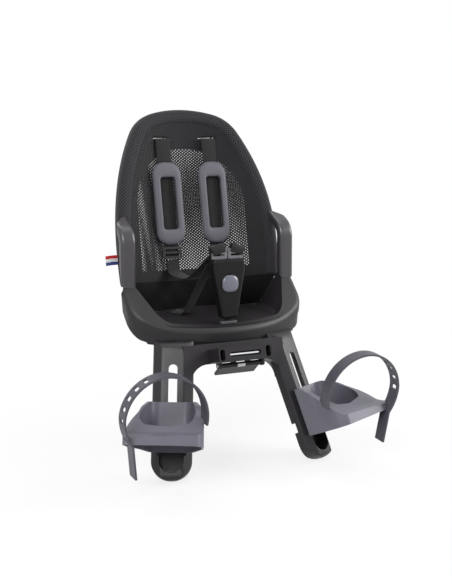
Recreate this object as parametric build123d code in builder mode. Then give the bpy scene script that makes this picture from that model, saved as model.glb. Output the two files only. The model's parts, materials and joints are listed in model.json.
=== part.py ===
"""Front child seat for a bicycle: a tub on slotted legs, a mesh back, a harness and sliding foot cups.

Units are millimetres. The origin is the middle of the mount block's front face, -Y is the riding
direction, +Z is up and the seat floor is level.
"""
from build123d import *
from math import asin, cos, radians, sin, tan
import os

os.makedirs("parts", exist_ok=True)

# Driving dimensions: fits
GAP = 0.3                # room between soft or curved neighbours
SLIDE_GAP = 0.4          # room round what slides
PIN_GAP = 0.15           # room round a pin

# Driving dimensions: pan and its rolled rim
RIM_HALF_WIDTH = 148.0
RIM_FRONT_Y = 43.0
RIM_FRONT_RADIUS = 246.0
RIM_CORNER_RADIUS = 36.0
RIM_ROLL = 10.0
RIM_DEPTH = 16.0
NOSE_DEPTH = 21.5
FLOOR_Z = 28.0
FLOOR_HALF_WIDTH = 98.0
FLOOR_FRONT_SETBACK = 14.0
FLOOR_CORNER_RADIUS = 22.0
FLOOR_FILLET = 16.0
WALL_TAPER = 30.0
RIM_SLOPE = 39.0
RIM_SLOPE_START_Y = 66.0
NOSE_LENGTH = 20.0
RIM_BEND = 45.0
LINER_WALL = 6.0
SHELL_WALL = 3.2
PAN_REAR_Y = 215.0
PAN_TOP_Z = 150.0

# Driving dimensions: back
BACK_RECLINE = 17.0
BACK_FOOT_Y = 162.0
BACK_BOWL_RADIUS = 230.0
BACK_BOWL_DEPTH = 10.0
BACK_HEIGHT = 319.5
BACK_HALF_WIDTH = 137.0
BACK_FOOT_HALF_WIDTH = 130.0
RIM_BAND = 20.0
RIM_THICK = 22.0
RIM_OUTER_ROLL = 8.5
PANEL_WALL = 4.0
PANEL_SETBACK = 4.0
LOWER_PANEL_TOP = 62.0
LOWER_PANEL_BOTTOM = 2.0
WINDOW_TOP = 257.0
WINDOW_ARCH_RADIUS = 95.0
BACK_WAIST_HEIGHT = 100.0
BACK_SIDE = (124.0, 200.0)
BACK_SHOULDER = (92.0, 280.0)
RIM_REAR_ROLL = 5.0
PANEL_LAP = 3.0
RIM_BOTTOM = 40.0
MESH_THICK = 1.5
MESH_BOTTOM = 42.0
REAR_MESH_DEPTH = 20.0
REAR_WALL = 1.5
REAR_WALL_TOP = 38.0
RIM_OVERHANG = 1.5

# Driving dimensions: fasteners
BOLT_RADIUS = 3.0
BOLT_HEAD_RADIUS = 5.5
BOLT_HEAD = 3.5
BOLT_SOCKET = 2.5
BOLT_SPREAD = 45.0
BOLT_HEIGHTS = (12.0, 30.0)
SCREW_RADIUS = 2.5
SCREW_HEAD_RADIUS = 4.5
SCREW_HEAD = 3.0

# Driving dimensions: armrests
ARM_X = 136.0
ARM_WIDTH = 24.0
ARM_THICK = 16.0
ARM_EDGE = 6.0
ARM_ROOT_Y = 195.0
ARM_ROOT_Z = 176.0
ARM_ROOT_HEIGHT = 134.5
ARM_BEND_Y = 143.0
ARM_BEND_Z = 155.0
ARM_FOOT_Y = 132.0
ARM_FOOT_Z = 60.0
ARM_BEND_RADIUS = 24.0
ARM_SCREW_X = 128.0
ARM_SCREW_Y = 134.0
ARM_SCREW_BITE = 14.0
ARM_ROOT_BITE = 11.0

# Driving dimensions: harness
WEBBING = 25.0
WEBBING_THICK = 1.6
STRAP_X = 40.0
STRAP_SLOT_HEIGHT = 271.0
STRAP_SLOT = 6.0
STRAP_SLOT_ROOM = 5.0
STRAP_FRONT = -0.8
STRAP_END = 84.0
STRAP_TURN = 5.0
ANCHOR_BAR_RADIUS = 2.0
ANCHOR_BAR_LENGTH = 112.0
ANCHOR_BAR_DEPTH = 20.3
PAD_LENGTH = 131.0
PAD_WIDTH = 48.0
PAD_THICK = 8.0
PAD_MIDDLE = 167.0
PAD_CORNER = 20.0
PAD_EDGE = 3.0
PAD_WINDOW_LENGTH = 83.0
PAD_WINDOW_WIDTH = 26.0
PAD_WINDOW_CORNER = 5.0
ADJUSTER_WIDTH = 31.0
ADJUSTER_LENGTH = 18.0
ADJUSTER_THICK = 3.0
ADJUSTER_MIDDLE = 89.0
ADJUSTER_SLOT = 4.0
ADJUSTER_BAR = 3.0
LOWER_STRAP_ROUTE = [(4.0, 82.0), (50.0, 82.0)]
LOWER_STRAP_RADII = [18.0, 30.0]
LOWER_STRAP_BEHIND = 5.6
HIP_START = (19.0, 91.0, 116.0)
HIP_END = (52.0, 150.0)
HIP_KNEE = (14.0, 88.0)
HIP_LANDING = 42.0
HIP_RADII = [20.0, 20.0, 3.0]

# Driving dimensions: buckle
BUCKLE_FOOT = (0.0, 62.0, 31.0)
BUCKLE_LEAN = 8.0
BUCKLE_OUTLINE = [(13.0, 6.0), (15.0, 20.0), (26.5, 80.0), (26.5, 96.0)]
BUCKLE_CORNER = 5.0
BUCKLE_BACK = 10.0
BUCKLE_FRONT = 9.0
BUCKLE_EDGE = 4.0
BUTTON_HEIGHT = 59.0
BUTTON_HALF_WIDTH = 14.5
BUTTON_HALF_HEIGHT = 14.0
BUTTON_PROUD = 2.6
BUTTON_EDGE = 2.4
BUTTON_TRAVEL = 3.0
BUTTON_SEAT = 0.8
SPRING_SEAT = 4.0
SPRING_RADIUS = 4.0
SPRING_WIRE = 0.6
SPRING_TURNS = 8
TONGUE_THICK = 3.0
TONGUE_BITE = 14.0
TONGUE_TAB = 18.0
TONGUE_INSIDE = 1.0
TONGUE_OUTSIDE = 26.0
TONGUE_PEAK = 17.0
TONGUE_EAVE = 9.0
TONGUE_SLOT = 3.0
TONGUE_SLOT_LENGTH = 17.0
CROTCH_WIDTH = 20.0
CROTCH_CLIP_WIDTH = 27.0
CROTCH_CLIP_LENGTH = 10.0
CROTCH_CLIP_THICK = 4.0
CROTCH_CLIP_EDGE = 1.5
CROTCH_CLIP_LIFT = 1.3

# Driving dimensions: striped tab on the back's side seam
TAB_HEIGHT = 82.0
TAB_WIDTH = 15.0
TAB_LENGTH = 20.0
TAB_THICK = 1.2
TAB_DEPTH = 11.0

# Driving dimensions: foot cups
FOOT_PLAN = [
    (-31, 0), (31, 0), (46, 45), (60, 70), (66, 99), (12, 92), (-40, 85), (-47, 72), (-46, 45),
]
FOOT_PLAN_CORNER = 12.0
FOOT_TIP_CORNER = 7.0
FOOT_CUP = [(-28, 3.4), (28, 3.4), (42, 45), (50, 66), (0, 71), (-30, 66), (-35, 45)]
FOOT_CUP_CORNER = 14.0
FOOT_PROFILE = [(12, 57), (35, 68), (60, 90), (80, 112), (110, 126)]
FOOT_PROFILE_RADIUS = 24.0
FOOT_BOTTOM = 130.0
FOOT_FLOOR = 106.0
FOOT_FLOOR_SLOPE = 0.15
FOOT_WALL = 3.0
BOSS_MIDDLE = 95.0
BOSS_LENGTH = 24.0
CLAMP_WIDTH = 22.0
CLAMP_LENGTH = 32.0
CLAMP_THICK = 3.5
CLAMP_SCREW_RADIUS = 3.0
CLAMP_HEAD_RADIUS = 5.5
CLAMP_HEAD = 4.0
CLAMP_BITE = 5.0

# Driving dimensions: foot straps
FOOT_STRAP_Y = -71.0
FOOT_STRAP_WIDTH = 21.0
FOOT_STRAP_THICK = 2.8
FOOT_STRAP_ROOT = (99.0, -72.0)
FOOT_STRAP_RISE = (122.0, -10.0)
FOOT_STRAP_TOP = (164.0, 5.0)
FOOT_STRAP_FALL = (207.0, -15.0)
FOOT_STRAP_SIDE = (222.0, -50.0)
FOOT_STRAP_TUCK = (219.0, -70.0)
FOOT_STRAP_SLOT = (209.0, -90.0)
FOOT_STRAP_TIP = (203.0, -138.0)
STRAP_HOLE_WIDTH = 11.0
STRAP_HOLE_HEIGHT = 6.5
STRAP_HOLES = (0.48, 0.535, 0.59, 0.645, 0.70)

# Driving dimensions: quick-release mount
BLOCK_EDGE = 2.5
TAB_SLOT_SPREAD = 76.0
TAB_SLOT_HEIGHT = 17.0
TAB_SLOT_WIDTH = 8.0
TAB_SLOT_DEPTH = 22.0
ROD_SLOT_LENGTH = 52.0
ROD_RADIUS = 3.0
ROD_DEPTH = 5.6
ROD_REAR_DEPTH = 26.0
ROD_HALF_WIDTH = 27.0
ROD_BEND = 5.0
GUIDE_FRONT = 2.0
LEVER_DEPTH = 21.0
LEVER_DROP = 15.5
LEVER_HUB = 4.0
LEVER_HALF_WIDTH = 33.0
LEVER_PLATE = 4.0
LEVER_KNEE = (30.0, -19.0)
LEVER_TIP = (46.0, -26.5)
LEVER_ARM_X = 12.0
LEVER_ARM_WIDTH = 8.0
LEVER_ARM_THICK = 4.0
LEVER_ARM_TOP = 2.4
LEVER_ARM_FRONT = 18.7
PIN_RADIUS = 2.0
LUG_WIDTH = 5.0
LUG_RADIUS = 5.0
COIL_HALF_WIDTH = 7.0
COIL_WIRE = 0.7
COIL_TURNS = 11
MOUNT_SCREW_SPREAD = (11.0, 30.0)
MOUNT_SCREW_RISE = 7.0
MOUNT_SCREW_BITE = 12.0

# Driving dimensions: legs
LEG_LEAN = 27.0
LEG_SPLAY = 10.6
LEG_YAW = 24.0
LEG_SLOT_TOP = (100.2, 37.5, -18.8)
LEG_LENGTH = 170.0
LEG_WIDTH = 60.0
LEG_PANEL = 33.0
LEG_BEVEL = 9.0
LEG_DEPTH = 22.0
LEG_PANEL_EDGE = 8.0
LEG_BEVEL_EDGE = 6.0
LEG_RISE = 40.0
LEG_SHOULDER = 20.0
LEG_SLOT_WIDTH = 12.8
LEG_SLOT_LENGTH = 118.0
LEG_TOE_FRONT_RADIUS = 9.0
LEG_TOE_REAR_RADIUS = 12.0
TOE_POCKET_TOP = 128.0
TOE_POCKET_WIDTH = 36.0
TOE_POCKET_WALL = 11.0
TOE_BACK_WALL = 4.0
TOE_BRIDGE = 7.0
TOE_NOTCH_HEIGHT = 15.0
TOE_NOTCH_DEPTH = 13.0
TOE_STEP = 3.0
TOE_STEP_HEIGHT = 6.0
FLARE_RISE = 55.0
FLARE_REACH = 36.0
FLARE_ROOT = 10.0
FLARE_TOP = 80.0
SKIRT_DEPTH = 20.0
SKIRT_START_X = 50.0

# Driving dimensions: mount block
MOUNT_LEAN = 20.0
BLOCK_WIDTH = 89.0
BLOCK_HEIGHT = 22.0
BLOCK_DEPTH = 36.0
APRON_HALF_WIDTH = 84.0
APRON_TOP = 19.5
APRON_BOTTOM = -11.0
APRON_DEPTH = 26.0
ARCH_RADIUS = 30.0

# Planes of the back: X across, local Y up the recline, local Z out of the bowl
recline = radians(BACK_RECLINE)
back_up = Vector(0, sin(recline), cos(recline))
back_out = Vector(0, -cos(recline), sin(recline))
back_foot = Vector(0, BACK_FOOT_Y, FLOOR_Z)
BACK = Plane(origin=back_foot, x_dir=(1, 0, 0), z_dir=back_out)
BACK_SECTION = Plane(origin=back_foot, x_dir=(1, 0, 0), z_dir=back_up)
BOWL_AXIS = BACK_BOWL_RADIUS - BACK_BOWL_DEPTH

# Planes of the right leg: across, along its front and down its length
lean = radians(LEG_LEAN)
splay = radians(LEG_SPLAY)
yaw = radians(LEG_YAW)
plane_front = Vector(0, -cos(lean), sin(lean))
plane_down = Vector(0, -sin(lean), -cos(lean))
leg_down = plane_down * cos(splay) + Vector(1, 0, 0) * sin(splay)
leg_across = Vector(1, 0, 0) * cos(splay) - plane_down * sin(splay)
leg_front = plane_front * cos(yaw) + leg_across * sin(yaw)
leg_out = leg_across * cos(yaw) - plane_front * sin(yaw)
leg_origin = Vector(*LEG_SLOT_TOP)
LEG_FACE = Plane(origin=leg_origin, x_dir=leg_out, z_dir=leg_front)
LEG_SECTION = Plane(origin=leg_origin, x_dir=leg_out, z_dir=leg_down)
LEG_SIDE = Plane(origin=leg_origin, x_dir=leg_front, z_dir=leg_out)

# Plane of the mount block's face
mount_lean = radians(MOUNT_LEAN)
mount_out = Vector(0, -cos(mount_lean), sin(mount_lean))
MOUNT = Plane(origin=(0, 0, 0), x_dir=(1, 0, 0), z_dir=mount_out)


def rim_height(y, drop=0.0):
    """Height of the pan's rim over the ground plan, for a point behind the nose."""
    return FLOOR_Z + (y - RIM_SLOPE_START_Y) * tan(radians(RIM_SLOPE)) - drop


def pan_outline(half_width, front_y, corner_radius):
    """Ground plan of the pan: a bowed front edge, round corners, straight sides and an open rear."""
    centre_y = front_y + RIM_FRONT_RADIUS
    corner_y = centre_y - (RIM_FRONT_RADIUS ** 2 - half_width ** 2) ** 0.5
    with BuildSketch() as plan:
        with BuildLine():
            ThreePointArc((-half_width, corner_y), (0, front_y), (half_width, corner_y))
            Polyline(
                (half_width, corner_y),
                (half_width, PAN_REAR_Y),
                (-half_width, PAN_REAR_Y),
                (-half_width, corner_y),
            )
        make_face()
        fillet(plan.vertices().group_by(Axis.Y)[0], radius=corner_radius)
    return plan.sketch


def bowl(inner_setback, outer_setback, bottom, top):
    """A stretch of the back's curved wall between two setbacks from the mesh face."""
    with BuildPart() as wall:
        with BuildSketch(BACK_SECTION.offset(bottom)):
            with Locations((0, -BOWL_AXIS)):
                Circle(BACK_BOWL_RADIUS + outer_setback)
                Circle(BACK_BOWL_RADIUS + inner_setback, mode=Mode.SUBTRACT)
        extrude(amount=top - bottom)
        split(bisect_by=Plane(origin=back_foot + back_out * BOWL_AXIS, z_dir=back_out), keep=Keep.BOTTOM)
    return wall.part


def tapered_pan(grow, floor_z, floor_fillet):
    """The pan's hollow grown evenly by a wall: floor outline, slanted walls and a round floor edge."""
    with BuildPart() as pan:
        with BuildSketch(Plane.XY.offset(floor_z)):
            add(
                pan_outline(
                    FLOOR_HALF_WIDTH + grow,
                    RIM_FRONT_Y + FLOOR_FRONT_SETBACK - grow,
                    FLOOR_CORNER_RADIUS + grow,
                )
            )
        extrude(amount=PAN_TOP_Z - floor_z, taper=-WALL_TAPER)
        fillet(pan.faces().sort_by(Axis.Z)[0].edges().sort_by(Axis.Y)[:-1], radius=floor_fillet)
    return pan.part


def under_rim(drop, nose_drop):
    """Everything below the rim's top line, lowered by drop at the sides and nose_drop at the front."""
    front_y = RIM_FRONT_Y - NOSE_LENGTH
    side_y = RIM_SLOPE_START_Y + NOSE_LENGTH
    bend_y = RIM_SLOPE_START_Y - (nose_drop > 0) * drop * sin(radians(RIM_SLOPE))
    with BuildPart() as below:
        with BuildSketch(Plane.YZ) as side:
            Polygon(
                (front_y, -2 * NOSE_DEPTH),
                (front_y, FLOOR_Z - nose_drop),
                (bend_y, FLOOR_Z - nose_drop),
                (side_y, rim_height(side_y, drop)),
                (PAN_REAR_Y, rim_height(PAN_REAR_Y, drop)),
                (PAN_REAR_Y, -2 * NOSE_DEPTH),
                align=None,
            )
            fillet(side.vertices().sort_by_distance((bend_y, FLOOR_Z - nose_drop))[0], radius=RIM_BEND)
        extrude(amount=2 * RIM_HALF_WIDTH, both=True)
    return below.part


# Soft pan with its rolled rim
pan_hollow = tapered_pan(0, FLOOR_Z, FLOOR_FILLET)
behind_pan = bowl(-GAP - REAR_WALL, BACK_BOWL_RADIUS / 2, -LOWER_PANEL_TOP, BACK_HEIGHT)
with BuildPart() as liner_pan:
    add(tapered_pan(LINER_WALL, FLOOR_Z - LINER_WALL, FLOOR_FILLET + LINER_WALL))
    add(under_rim(0, 0), mode=Mode.INTERSECT)
with BuildPart() as liner_form:
    with BuildSketch(Plane.XY.offset(-NOSE_DEPTH)):
        add(pan_outline(RIM_HALF_WIDTH, RIM_FRONT_Y, RIM_CORNER_RADIUS))
    extrude(amount=PAN_TOP_Z + NOSE_DEPTH)
    add(under_rim(0, 0), mode=Mode.INTERSECT)
    add(under_rim(RIM_DEPTH, NOSE_DEPTH), mode=Mode.SUBTRACT)
    rim_edges = liner_form.edges().filter_by(Axis.X, reverse=True).filter_by(
        lambda edge: (edge @ 0.5).Z > max(FLOOR_Z, rim_height((edge @ 0.5).Y)) - 2
    )
    fillet(rim_edges, radius=RIM_ROLL)
    add(liner_pan.part)
    add(pan_hollow, mode=Mode.SUBTRACT)
    add(behind_pan, mode=Mode.SUBTRACT)


def rim_prism(inset):
    """The rim's ground plan, inset, as a tall prism."""
    with BuildPart() as prism:
        with BuildSketch(Plane.XY.offset(-2 * NOSE_DEPTH)):
            add(
                pan_outline(
                    RIM_HALF_WIDTH - inset, RIM_FRONT_Y + inset, RIM_CORNER_RADIUS - inset
                )
            )
        extrude(amount=PAN_TOP_Z + 2 * NOSE_DEPTH)
    return prism.part


# Right leg: a channel open at the back, with a round toe
def leg_section(rounded):
    """Section of the leg: a front panel, a bevel on each side and two side walls."""
    with BuildSketch() as section:
        Polygon(
            (-LEG_PANEL / 2, 0),
            (LEG_PANEL / 2, 0),
            (LEG_WIDTH / 2, -LEG_BEVEL),
            (LEG_WIDTH / 2, -LEG_DEPTH),
            (-LEG_WIDTH / 2, -LEG_DEPTH),
            (-LEG_WIDTH / 2, -LEG_BEVEL),
            align=None,
        )
        if rounded:
            fillet(section.vertices().group_by(Axis.Y)[-1], radius=LEG_PANEL_EDGE)
            for side in (-1, 1):
                bend = section.vertices().sort_by_distance((side * LEG_WIDTH / 2, -LEG_BEVEL))[0]
                fillet(bend, radius=LEG_BEVEL_EDGE)
    return section.sketch


with BuildPart() as leg_hollow:
    with BuildSketch(LEG_SECTION.offset(-LEG_RISE)):
        add(leg_section(rounded=False))
        offset(amount=-SHELL_WALL, kind=Kind.INTERSECTION)
        with Locations((0, -LEG_DEPTH)):
            Rectangle(LEG_WIDTH - 2 * SHELL_WALL, 4 * SHELL_WALL)
    extrude(amount=LEG_RISE + TOE_POCKET_TOP - TOE_BRIDGE)
    with BuildSketch(LEG_SIDE.offset(-LEG_WIDTH)) as side:
        Polygon(
            (-SHELL_WALL, LEG_LENGTH),
            (-SHELL_WALL, SHELL_WALL - LEG_RISE),
            (-2 * LEG_DEPTH, SHELL_WALL - LEG_RISE),
            (-2 * LEG_DEPTH, LEG_LENGTH),
            align=None,
        )
        fillet(
            side.vertices().sort_by_distance((-SHELL_WALL, SHELL_WALL - LEG_RISE))[0],
            radius=LEG_SHOULDER - SHELL_WALL,
        )
    extrude(amount=2 * LEG_WIDTH, mode=Mode.INTERSECT)

LEG_OUTLINE = LEG_LENGTH + 2 * LEG_RISE
with BuildPart() as leg:
    with BuildSketch(LEG_SECTION.offset(-LEG_RISE)):
        add(leg_section(rounded=True))
    extrude(amount=LEG_RISE + LEG_LENGTH)
    with BuildSketch(LEG_FACE.offset(-2 * LEG_DEPTH)):
        with Locations((0, LEG_OUTLINE / 2 - LEG_LENGTH)):
            SlotOverall(LEG_OUTLINE, LEG_WIDTH, rotation=90)
    extrude(amount=3 * LEG_DEPTH, mode=Mode.INTERSECT)
    with BuildSketch(LEG_SIDE.offset(-LEG_WIDTH)) as side:
        with Locations((-LEG_DEPTH / 2, (LEG_LENGTH - LEG_RISE) / 2)):
            Rectangle(LEG_DEPTH, LEG_LENGTH + LEG_RISE)
        fillet(side.vertices().sort_by_distance((0, -LEG_RISE))[0], radius=LEG_SHOULDER)
        fillet(side.vertices().sort_by_distance((0, LEG_LENGTH))[0], radius=LEG_TOE_FRONT_RADIUS)
        fillet(side.vertices().sort_by_distance((-LEG_DEPTH, LEG_LENGTH))[0], radius=LEG_TOE_REAR_RADIUS)
    extrude(amount=2 * LEG_WIDTH, mode=Mode.INTERSECT)
    add(leg_hollow.part, mode=Mode.SUBTRACT)
    # Height slot for the foot cup
    with BuildSketch(LEG_FACE.offset(-2 * SHELL_WALL)):
        with Locations((0, -LEG_SLOT_LENGTH / 2)):
            SlotOverall(LEG_SLOT_LENGTH, LEG_SLOT_WIDTH, rotation=90)
    extrude(amount=4 * SHELL_WALL, mode=Mode.SUBTRACT)
    # Pocket in the toe, open to the front, with a stepped mouth
    pocket_length = LEG_LENGTH - TOE_POCKET_WALL - TOE_POCKET_TOP
    with BuildSketch(LEG_FACE):
        with Locations((0, -TOE_POCKET_TOP)):
            Rectangle(TOE_POCKET_WIDTH, 2 * pocket_length - TOE_POCKET_WIDTH)
            with Locations((0, TOE_POCKET_WIDTH / 2 - pocket_length)):
                Circle(TOE_POCKET_WIDTH / 2)
        with Locations((0, LEG_RISE - TOE_POCKET_TOP)):
            Rectangle(LEG_WIDTH, 2 * LEG_RISE, mode=Mode.SUBTRACT)
    extrude(amount=TOE_BACK_WALL - LEG_DEPTH, mode=Mode.SUBTRACT)
    with BuildSketch(LEG_FACE):
        with Locations((0, -TOE_POCKET_TOP - TOE_STEP_HEIGHT / 2)):
            Rectangle(TOE_POCKET_WIDTH + 2 * TOE_STEP, TOE_STEP_HEIGHT)
    extrude(amount=-TOE_STEP_HEIGHT, mode=Mode.SUBTRACT)
    # Notch in the side walls where the channel ends
    with BuildSketch(LEG_SIDE.offset(-LEG_WIDTH)):
        with Locations((-LEG_DEPTH, TOE_POCKET_TOP - TOE_BRIDGE)):
            Rectangle(TOE_NOTCH_DEPTH, TOE_NOTCH_HEIGHT, align=(Align.CENTER, Align.MAX))
    extrude(amount=2 * LEG_WIDTH, mode=Mode.SUBTRACT)

# Apron between the legs, flat behind the mount block, with an arched lower edge
ARCH_OUTLINE_X = BLOCK_WIDTH / 2 + SHELL_WALL
with BuildPart() as apron:
    with BuildSketch(MOUNT.offset(-BLOCK_DEPTH)) as apron_face:
        with BuildLine():
            right_foot = (ARCH_OUTLINE_X + ARCH_RADIUS, APRON_BOTTOM - ARCH_RADIUS)
            right_start = (ARCH_OUTLINE_X, APRON_BOTTOM)
            Polyline(
                right_start,
                (-ARCH_OUTLINE_X, APRON_BOTTOM),
            )
            RadiusArc(right_start, right_foot, ARCH_RADIUS)
            RadiusArc((-right_foot[0], right_foot[1]), (-right_start[0], right_start[1]), ARCH_RADIUS)
            Polyline(
                right_foot,
                (APRON_HALF_WIDTH, right_foot[1]),
                (APRON_HALF_WIDTH, APRON_TOP),
                (-APRON_HALF_WIDTH, APRON_TOP),
                (-APRON_HALF_WIDTH, right_foot[1]),
                (-right_foot[0], right_foot[1]),
            )
        make_face()
    extrude(amount=-APRON_DEPTH)
    with BuildSketch(MOUNT.offset(-BLOCK_DEPTH - SHELL_WALL)):
        add(apron_face.sketch_local)
        offset(amount=-SHELL_WALL, kind=Kind.INTERSECTION)
    extrude(amount=-APRON_DEPTH, mode=Mode.SUBTRACT)

shell_grow = LINER_WALL + GAP + SHELL_WALL
rim_drop = RIM_DEPTH + GAP
nose_drop = NOSE_DEPTH + GAP
tub_hollow = tapered_pan(LINER_WALL + GAP, FLOOR_Z - LINER_WALL - GAP, FLOOR_FILLET + LINER_WALL + GAP)
tub_block = tapered_pan(shell_grow, FLOOR_Z - shell_grow, FLOOR_FILLET + shell_grow)
below_rim = under_rim(rim_drop, nose_drop)
with BuildPart() as tub_walls:
    add(tub_block)
    add(below_rim, mode=Mode.INTERSECT)
with BuildPart() as rear_wall:
    add(bowl(-REAR_WALL, PANEL_SETBACK - GAP, -LOWER_PANEL_TOP, REAR_WALL_TOP))
    add(tub_walls.part, mode=Mode.INTERSECT)

# Room of the liner's rim and pan, which the legs and their flares keep clear of
with BuildPart() as liner_room:
    add(rim_prism(-GAP))
    add(below_rim, mode=Mode.SUBTRACT)
    add(tub_hollow)

# Skirt that hangs from the rim shelf, left out at the middle of the front
with BuildPart() as skirt:
    add(rim_prism(RIM_OVERHANG))
    add(rim_prism(RIM_OVERHANG + SHELL_WALL), mode=Mode.SUBTRACT)
    add(below_rim, mode=Mode.INTERSECT)
    add(under_rim(rim_drop + SKIRT_DEPTH, nose_drop + SKIRT_DEPTH), mode=Mode.SUBTRACT)
    with BuildSketch(Plane.XY.offset(-2 * NOSE_DEPTH)):
        with Locations((0, RIM_FRONT_Y)):
            Rectangle(2 * SKIRT_START_X, 2 * NOSE_LENGTH)
    extrude(amount=2 * NOSE_DEPTH + FLOOR_Z, mode=Mode.SUBTRACT)

# Web that widens the right leg's outer edge up to the rim
with BuildPart() as flare:
    with BuildSketch(LEG_FACE.offset(-LEG_BEVEL)):
        with BuildLine():
            flare_root = (LEG_WIDTH / 2, 0)
            flare_end = (LEG_WIDTH / 2 + FLARE_REACH, FLARE_RISE)
            TangentArc(flare_root, flare_end, tangent=(0, 1))
            Polyline(
                flare_end,
                (flare_end[0], FLARE_TOP),
                (FLARE_ROOT, FLARE_TOP),
                (FLARE_ROOT, 0),
                flare_root,
            )
        make_face()
    extrude(amount=-SHELL_WALL)
    add(below_rim, mode=Mode.INTERSECT)
    add(rim_prism(RIM_OVERHANG), mode=Mode.INTERSECT)
with BuildPart() as leg_and_flare:
    add(leg.part)
    add(flare.part)
    add(liner_room.part, mode=Mode.SUBTRACT)


def arc_join(start, start_run, end, end_run):
    """Point where two arcs meet smoothly between two points with given directions."""
    across = Vector(*end) - Vector(*start)
    both_runs = start_run + end_run
    lead = across.dot(both_runs)
    spare = 4 - both_runs.dot(both_runs)
    reach = (-lead + (lead ** 2 + spare * across.dot(across)) ** 0.5) / spare
    return (Vector(*start) + start_run * reach + Vector(*end) - end_run * reach) * 0.5


def back_outline(inset=0.0, bottom=0.0):
    """Front view of the back, inset from its edge and cut off at the bottom."""
    waist = (BACK_HALF_WIDTH, BACK_WAIST_HEIGHT)
    top = (0, BACK_HEIGHT)
    with BuildSketch() as view:
        with BuildLine() as half:
            Line((0, 0), (BACK_FOOT_HALF_WIDTH, 0))
            TangentArc(waist, (BACK_FOOT_HALF_WIDTH, 0), tangent=(0, -1))
            side = TangentArc(waist, BACK_SIDE, tangent=(0, 1))
            shoulder = TangentArc(BACK_SIDE, BACK_SHOULDER, tangent=side % 1)
            join = arc_join(BACK_SHOULDER, shoulder % 1, top, Vector(-1, 0))
            corner = TangentArc(BACK_SHOULDER, join, tangent=shoulder % 1)
            TangentArc(join, top, tangent=corner % 1)
            mirror(half.line, about=Plane.YZ)
        make_face()
        if inset:
            offset(amount=-inset)
        if bottom:
            Rectangle(4 * BACK_HALF_WIDTH, 2 * bottom, mode=Mode.SUBTRACT)
    return view.sketch


def through_back(outline):
    """A front-view outline of the back, extruded through its whole depth."""
    with BuildPart() as prism:
        with BuildSketch(BACK.offset(-BACK_HALF_WIDTH)):
            add(outline)
        extrude(amount=2 * BACK_HALF_WIDTH)
    return prism.part


with BuildSketch() as window:
    with Locations((0, WINDOW_TOP - WINDOW_ARCH_RADIUS)):
        Circle(WINDOW_ARCH_RADIUS)
        Rectangle(
            2 * WINDOW_ARCH_RADIUS,
            WINDOW_TOP - WINDOW_ARCH_RADIUS - LOWER_PANEL_TOP,
            align=(Align.CENTER, Align.MAX),
        )
with BuildSketch() as panel_view:
    add(back_outline(RIM_BAND - PANEL_LAP, LOWER_PANEL_BOTTOM))
    add(window.sketch, mode=Mode.SUBTRACT)

with BuildPart() as back_rim:
    add(through_back(back_outline(0, RIM_BOTTOM)))
    add(bowl(0, RIM_THICK, 0, BACK_HEIGHT + RIM_THICK), mode=Mode.INTERSECT)
    # Roll the rim's front and rear edges, all but the cut at the bottom
    for setback, roll in ((0, RIM_OUTER_ROLL), (RIM_THICK, RIM_REAR_ROLL)):
        curved = back_rim.faces().filter_by(GeomType.CYLINDER)
        face = curved.sort_by(lambda wall: abs(wall.radius - BACK_BOWL_RADIUS - setback))[0]
        fillet(face.edges().sort_by(Axis(back_foot, back_up))[1:], radius=roll)
    add(through_back(back_outline(RIM_BAND)), mode=Mode.SUBTRACT)


def bowl_plane(x, height, setback):
    """Plane square to the bowl at a distance x from the middle, its Z pointing out of the back."""
    turn = asin(x / BACK_BOWL_RADIUS)
    outward = Vector(1, 0, 0) * sin(turn) - back_out * cos(turn)
    axis_point = back_foot + back_up * height + back_out * BOWL_AXIS
    return Plane(
        origin=axis_point + outward * (BACK_BOWL_RADIUS + setback), x_dir=back_up, z_dir=outward
    )


def straight_plane(x, height, setback):
    """Plane facing straight out of the back, behind the bowl's wall at a distance x from the middle."""
    wall = BOWL_AXIS - (BACK_BOWL_RADIUS ** 2 - x ** 2) ** 0.5
    origin = back_foot + Vector(x, 0, 0) + back_up * height + back_out * (wall - setback)
    return Plane(origin=origin, x_dir=back_up, z_dir=-back_out)


BOLT_PLACES = [(x, height) for x in (-BOLT_SPREAD, BOLT_SPREAD) for height in BOLT_HEIGHTS]
ROOT_SCREW_SETBACK = RIM_THICK - 2 * SCREW_HEAD
ARM_SCREW_PLACES = [(x, ARM_ROOT_HEIGHT) for x in (-ARM_SCREW_X, ARM_SCREW_X)]
panel_back = PANEL_SETBACK + PANEL_WALL
with BuildPart() as strap_slots:
    with BuildSketch(BACK.offset(-BACK_BOWL_RADIUS / 2)):
        with Locations((-STRAP_X, STRAP_SLOT_HEIGHT), (STRAP_X, STRAP_SLOT_HEIGHT)):
            RectangleRounded(WEBBING + STRAP_SLOT_ROOM, STRAP_SLOT, STRAP_SLOT / 3)
    extrude(amount=BACK_BOWL_RADIUS)

with BuildPart() as back_frame:
    add(through_back(panel_view.sketch))
    add(bowl(PANEL_SETBACK, panel_back, 0, BACK_HEIGHT), mode=Mode.INTERSECT)
    add(back_rim.part)
    add(strap_slots.part, mode=Mode.SUBTRACT)
    for x, height in BOLT_PLACES:
        with BuildSketch(bowl_plane(x, height, panel_back + BOLT_HEAD)):
            Circle(BOLT_RADIUS + PIN_GAP)
        extrude(amount=-2 * panel_back, mode=Mode.SUBTRACT)
    for x, height in ARM_SCREW_PLACES:
        with BuildSketch(straight_plane(x, height, ROOT_SCREW_SETBACK)):
            Circle(SCREW_RADIUS + PIN_GAP)
        extrude(amount=-2 * RIM_THICK, mode=Mode.SUBTRACT)
        with BuildSketch(straight_plane(x, height, ROOT_SCREW_SETBACK)):
            Circle(SCREW_HEAD_RADIUS + PIN_GAP)
        extrude(amount=2 * RIM_THICK, mode=Mode.SUBTRACT)
back_frame.part.label = "back_frame"
export_step(back_frame.part, "parts/back_frame.step")

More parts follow.
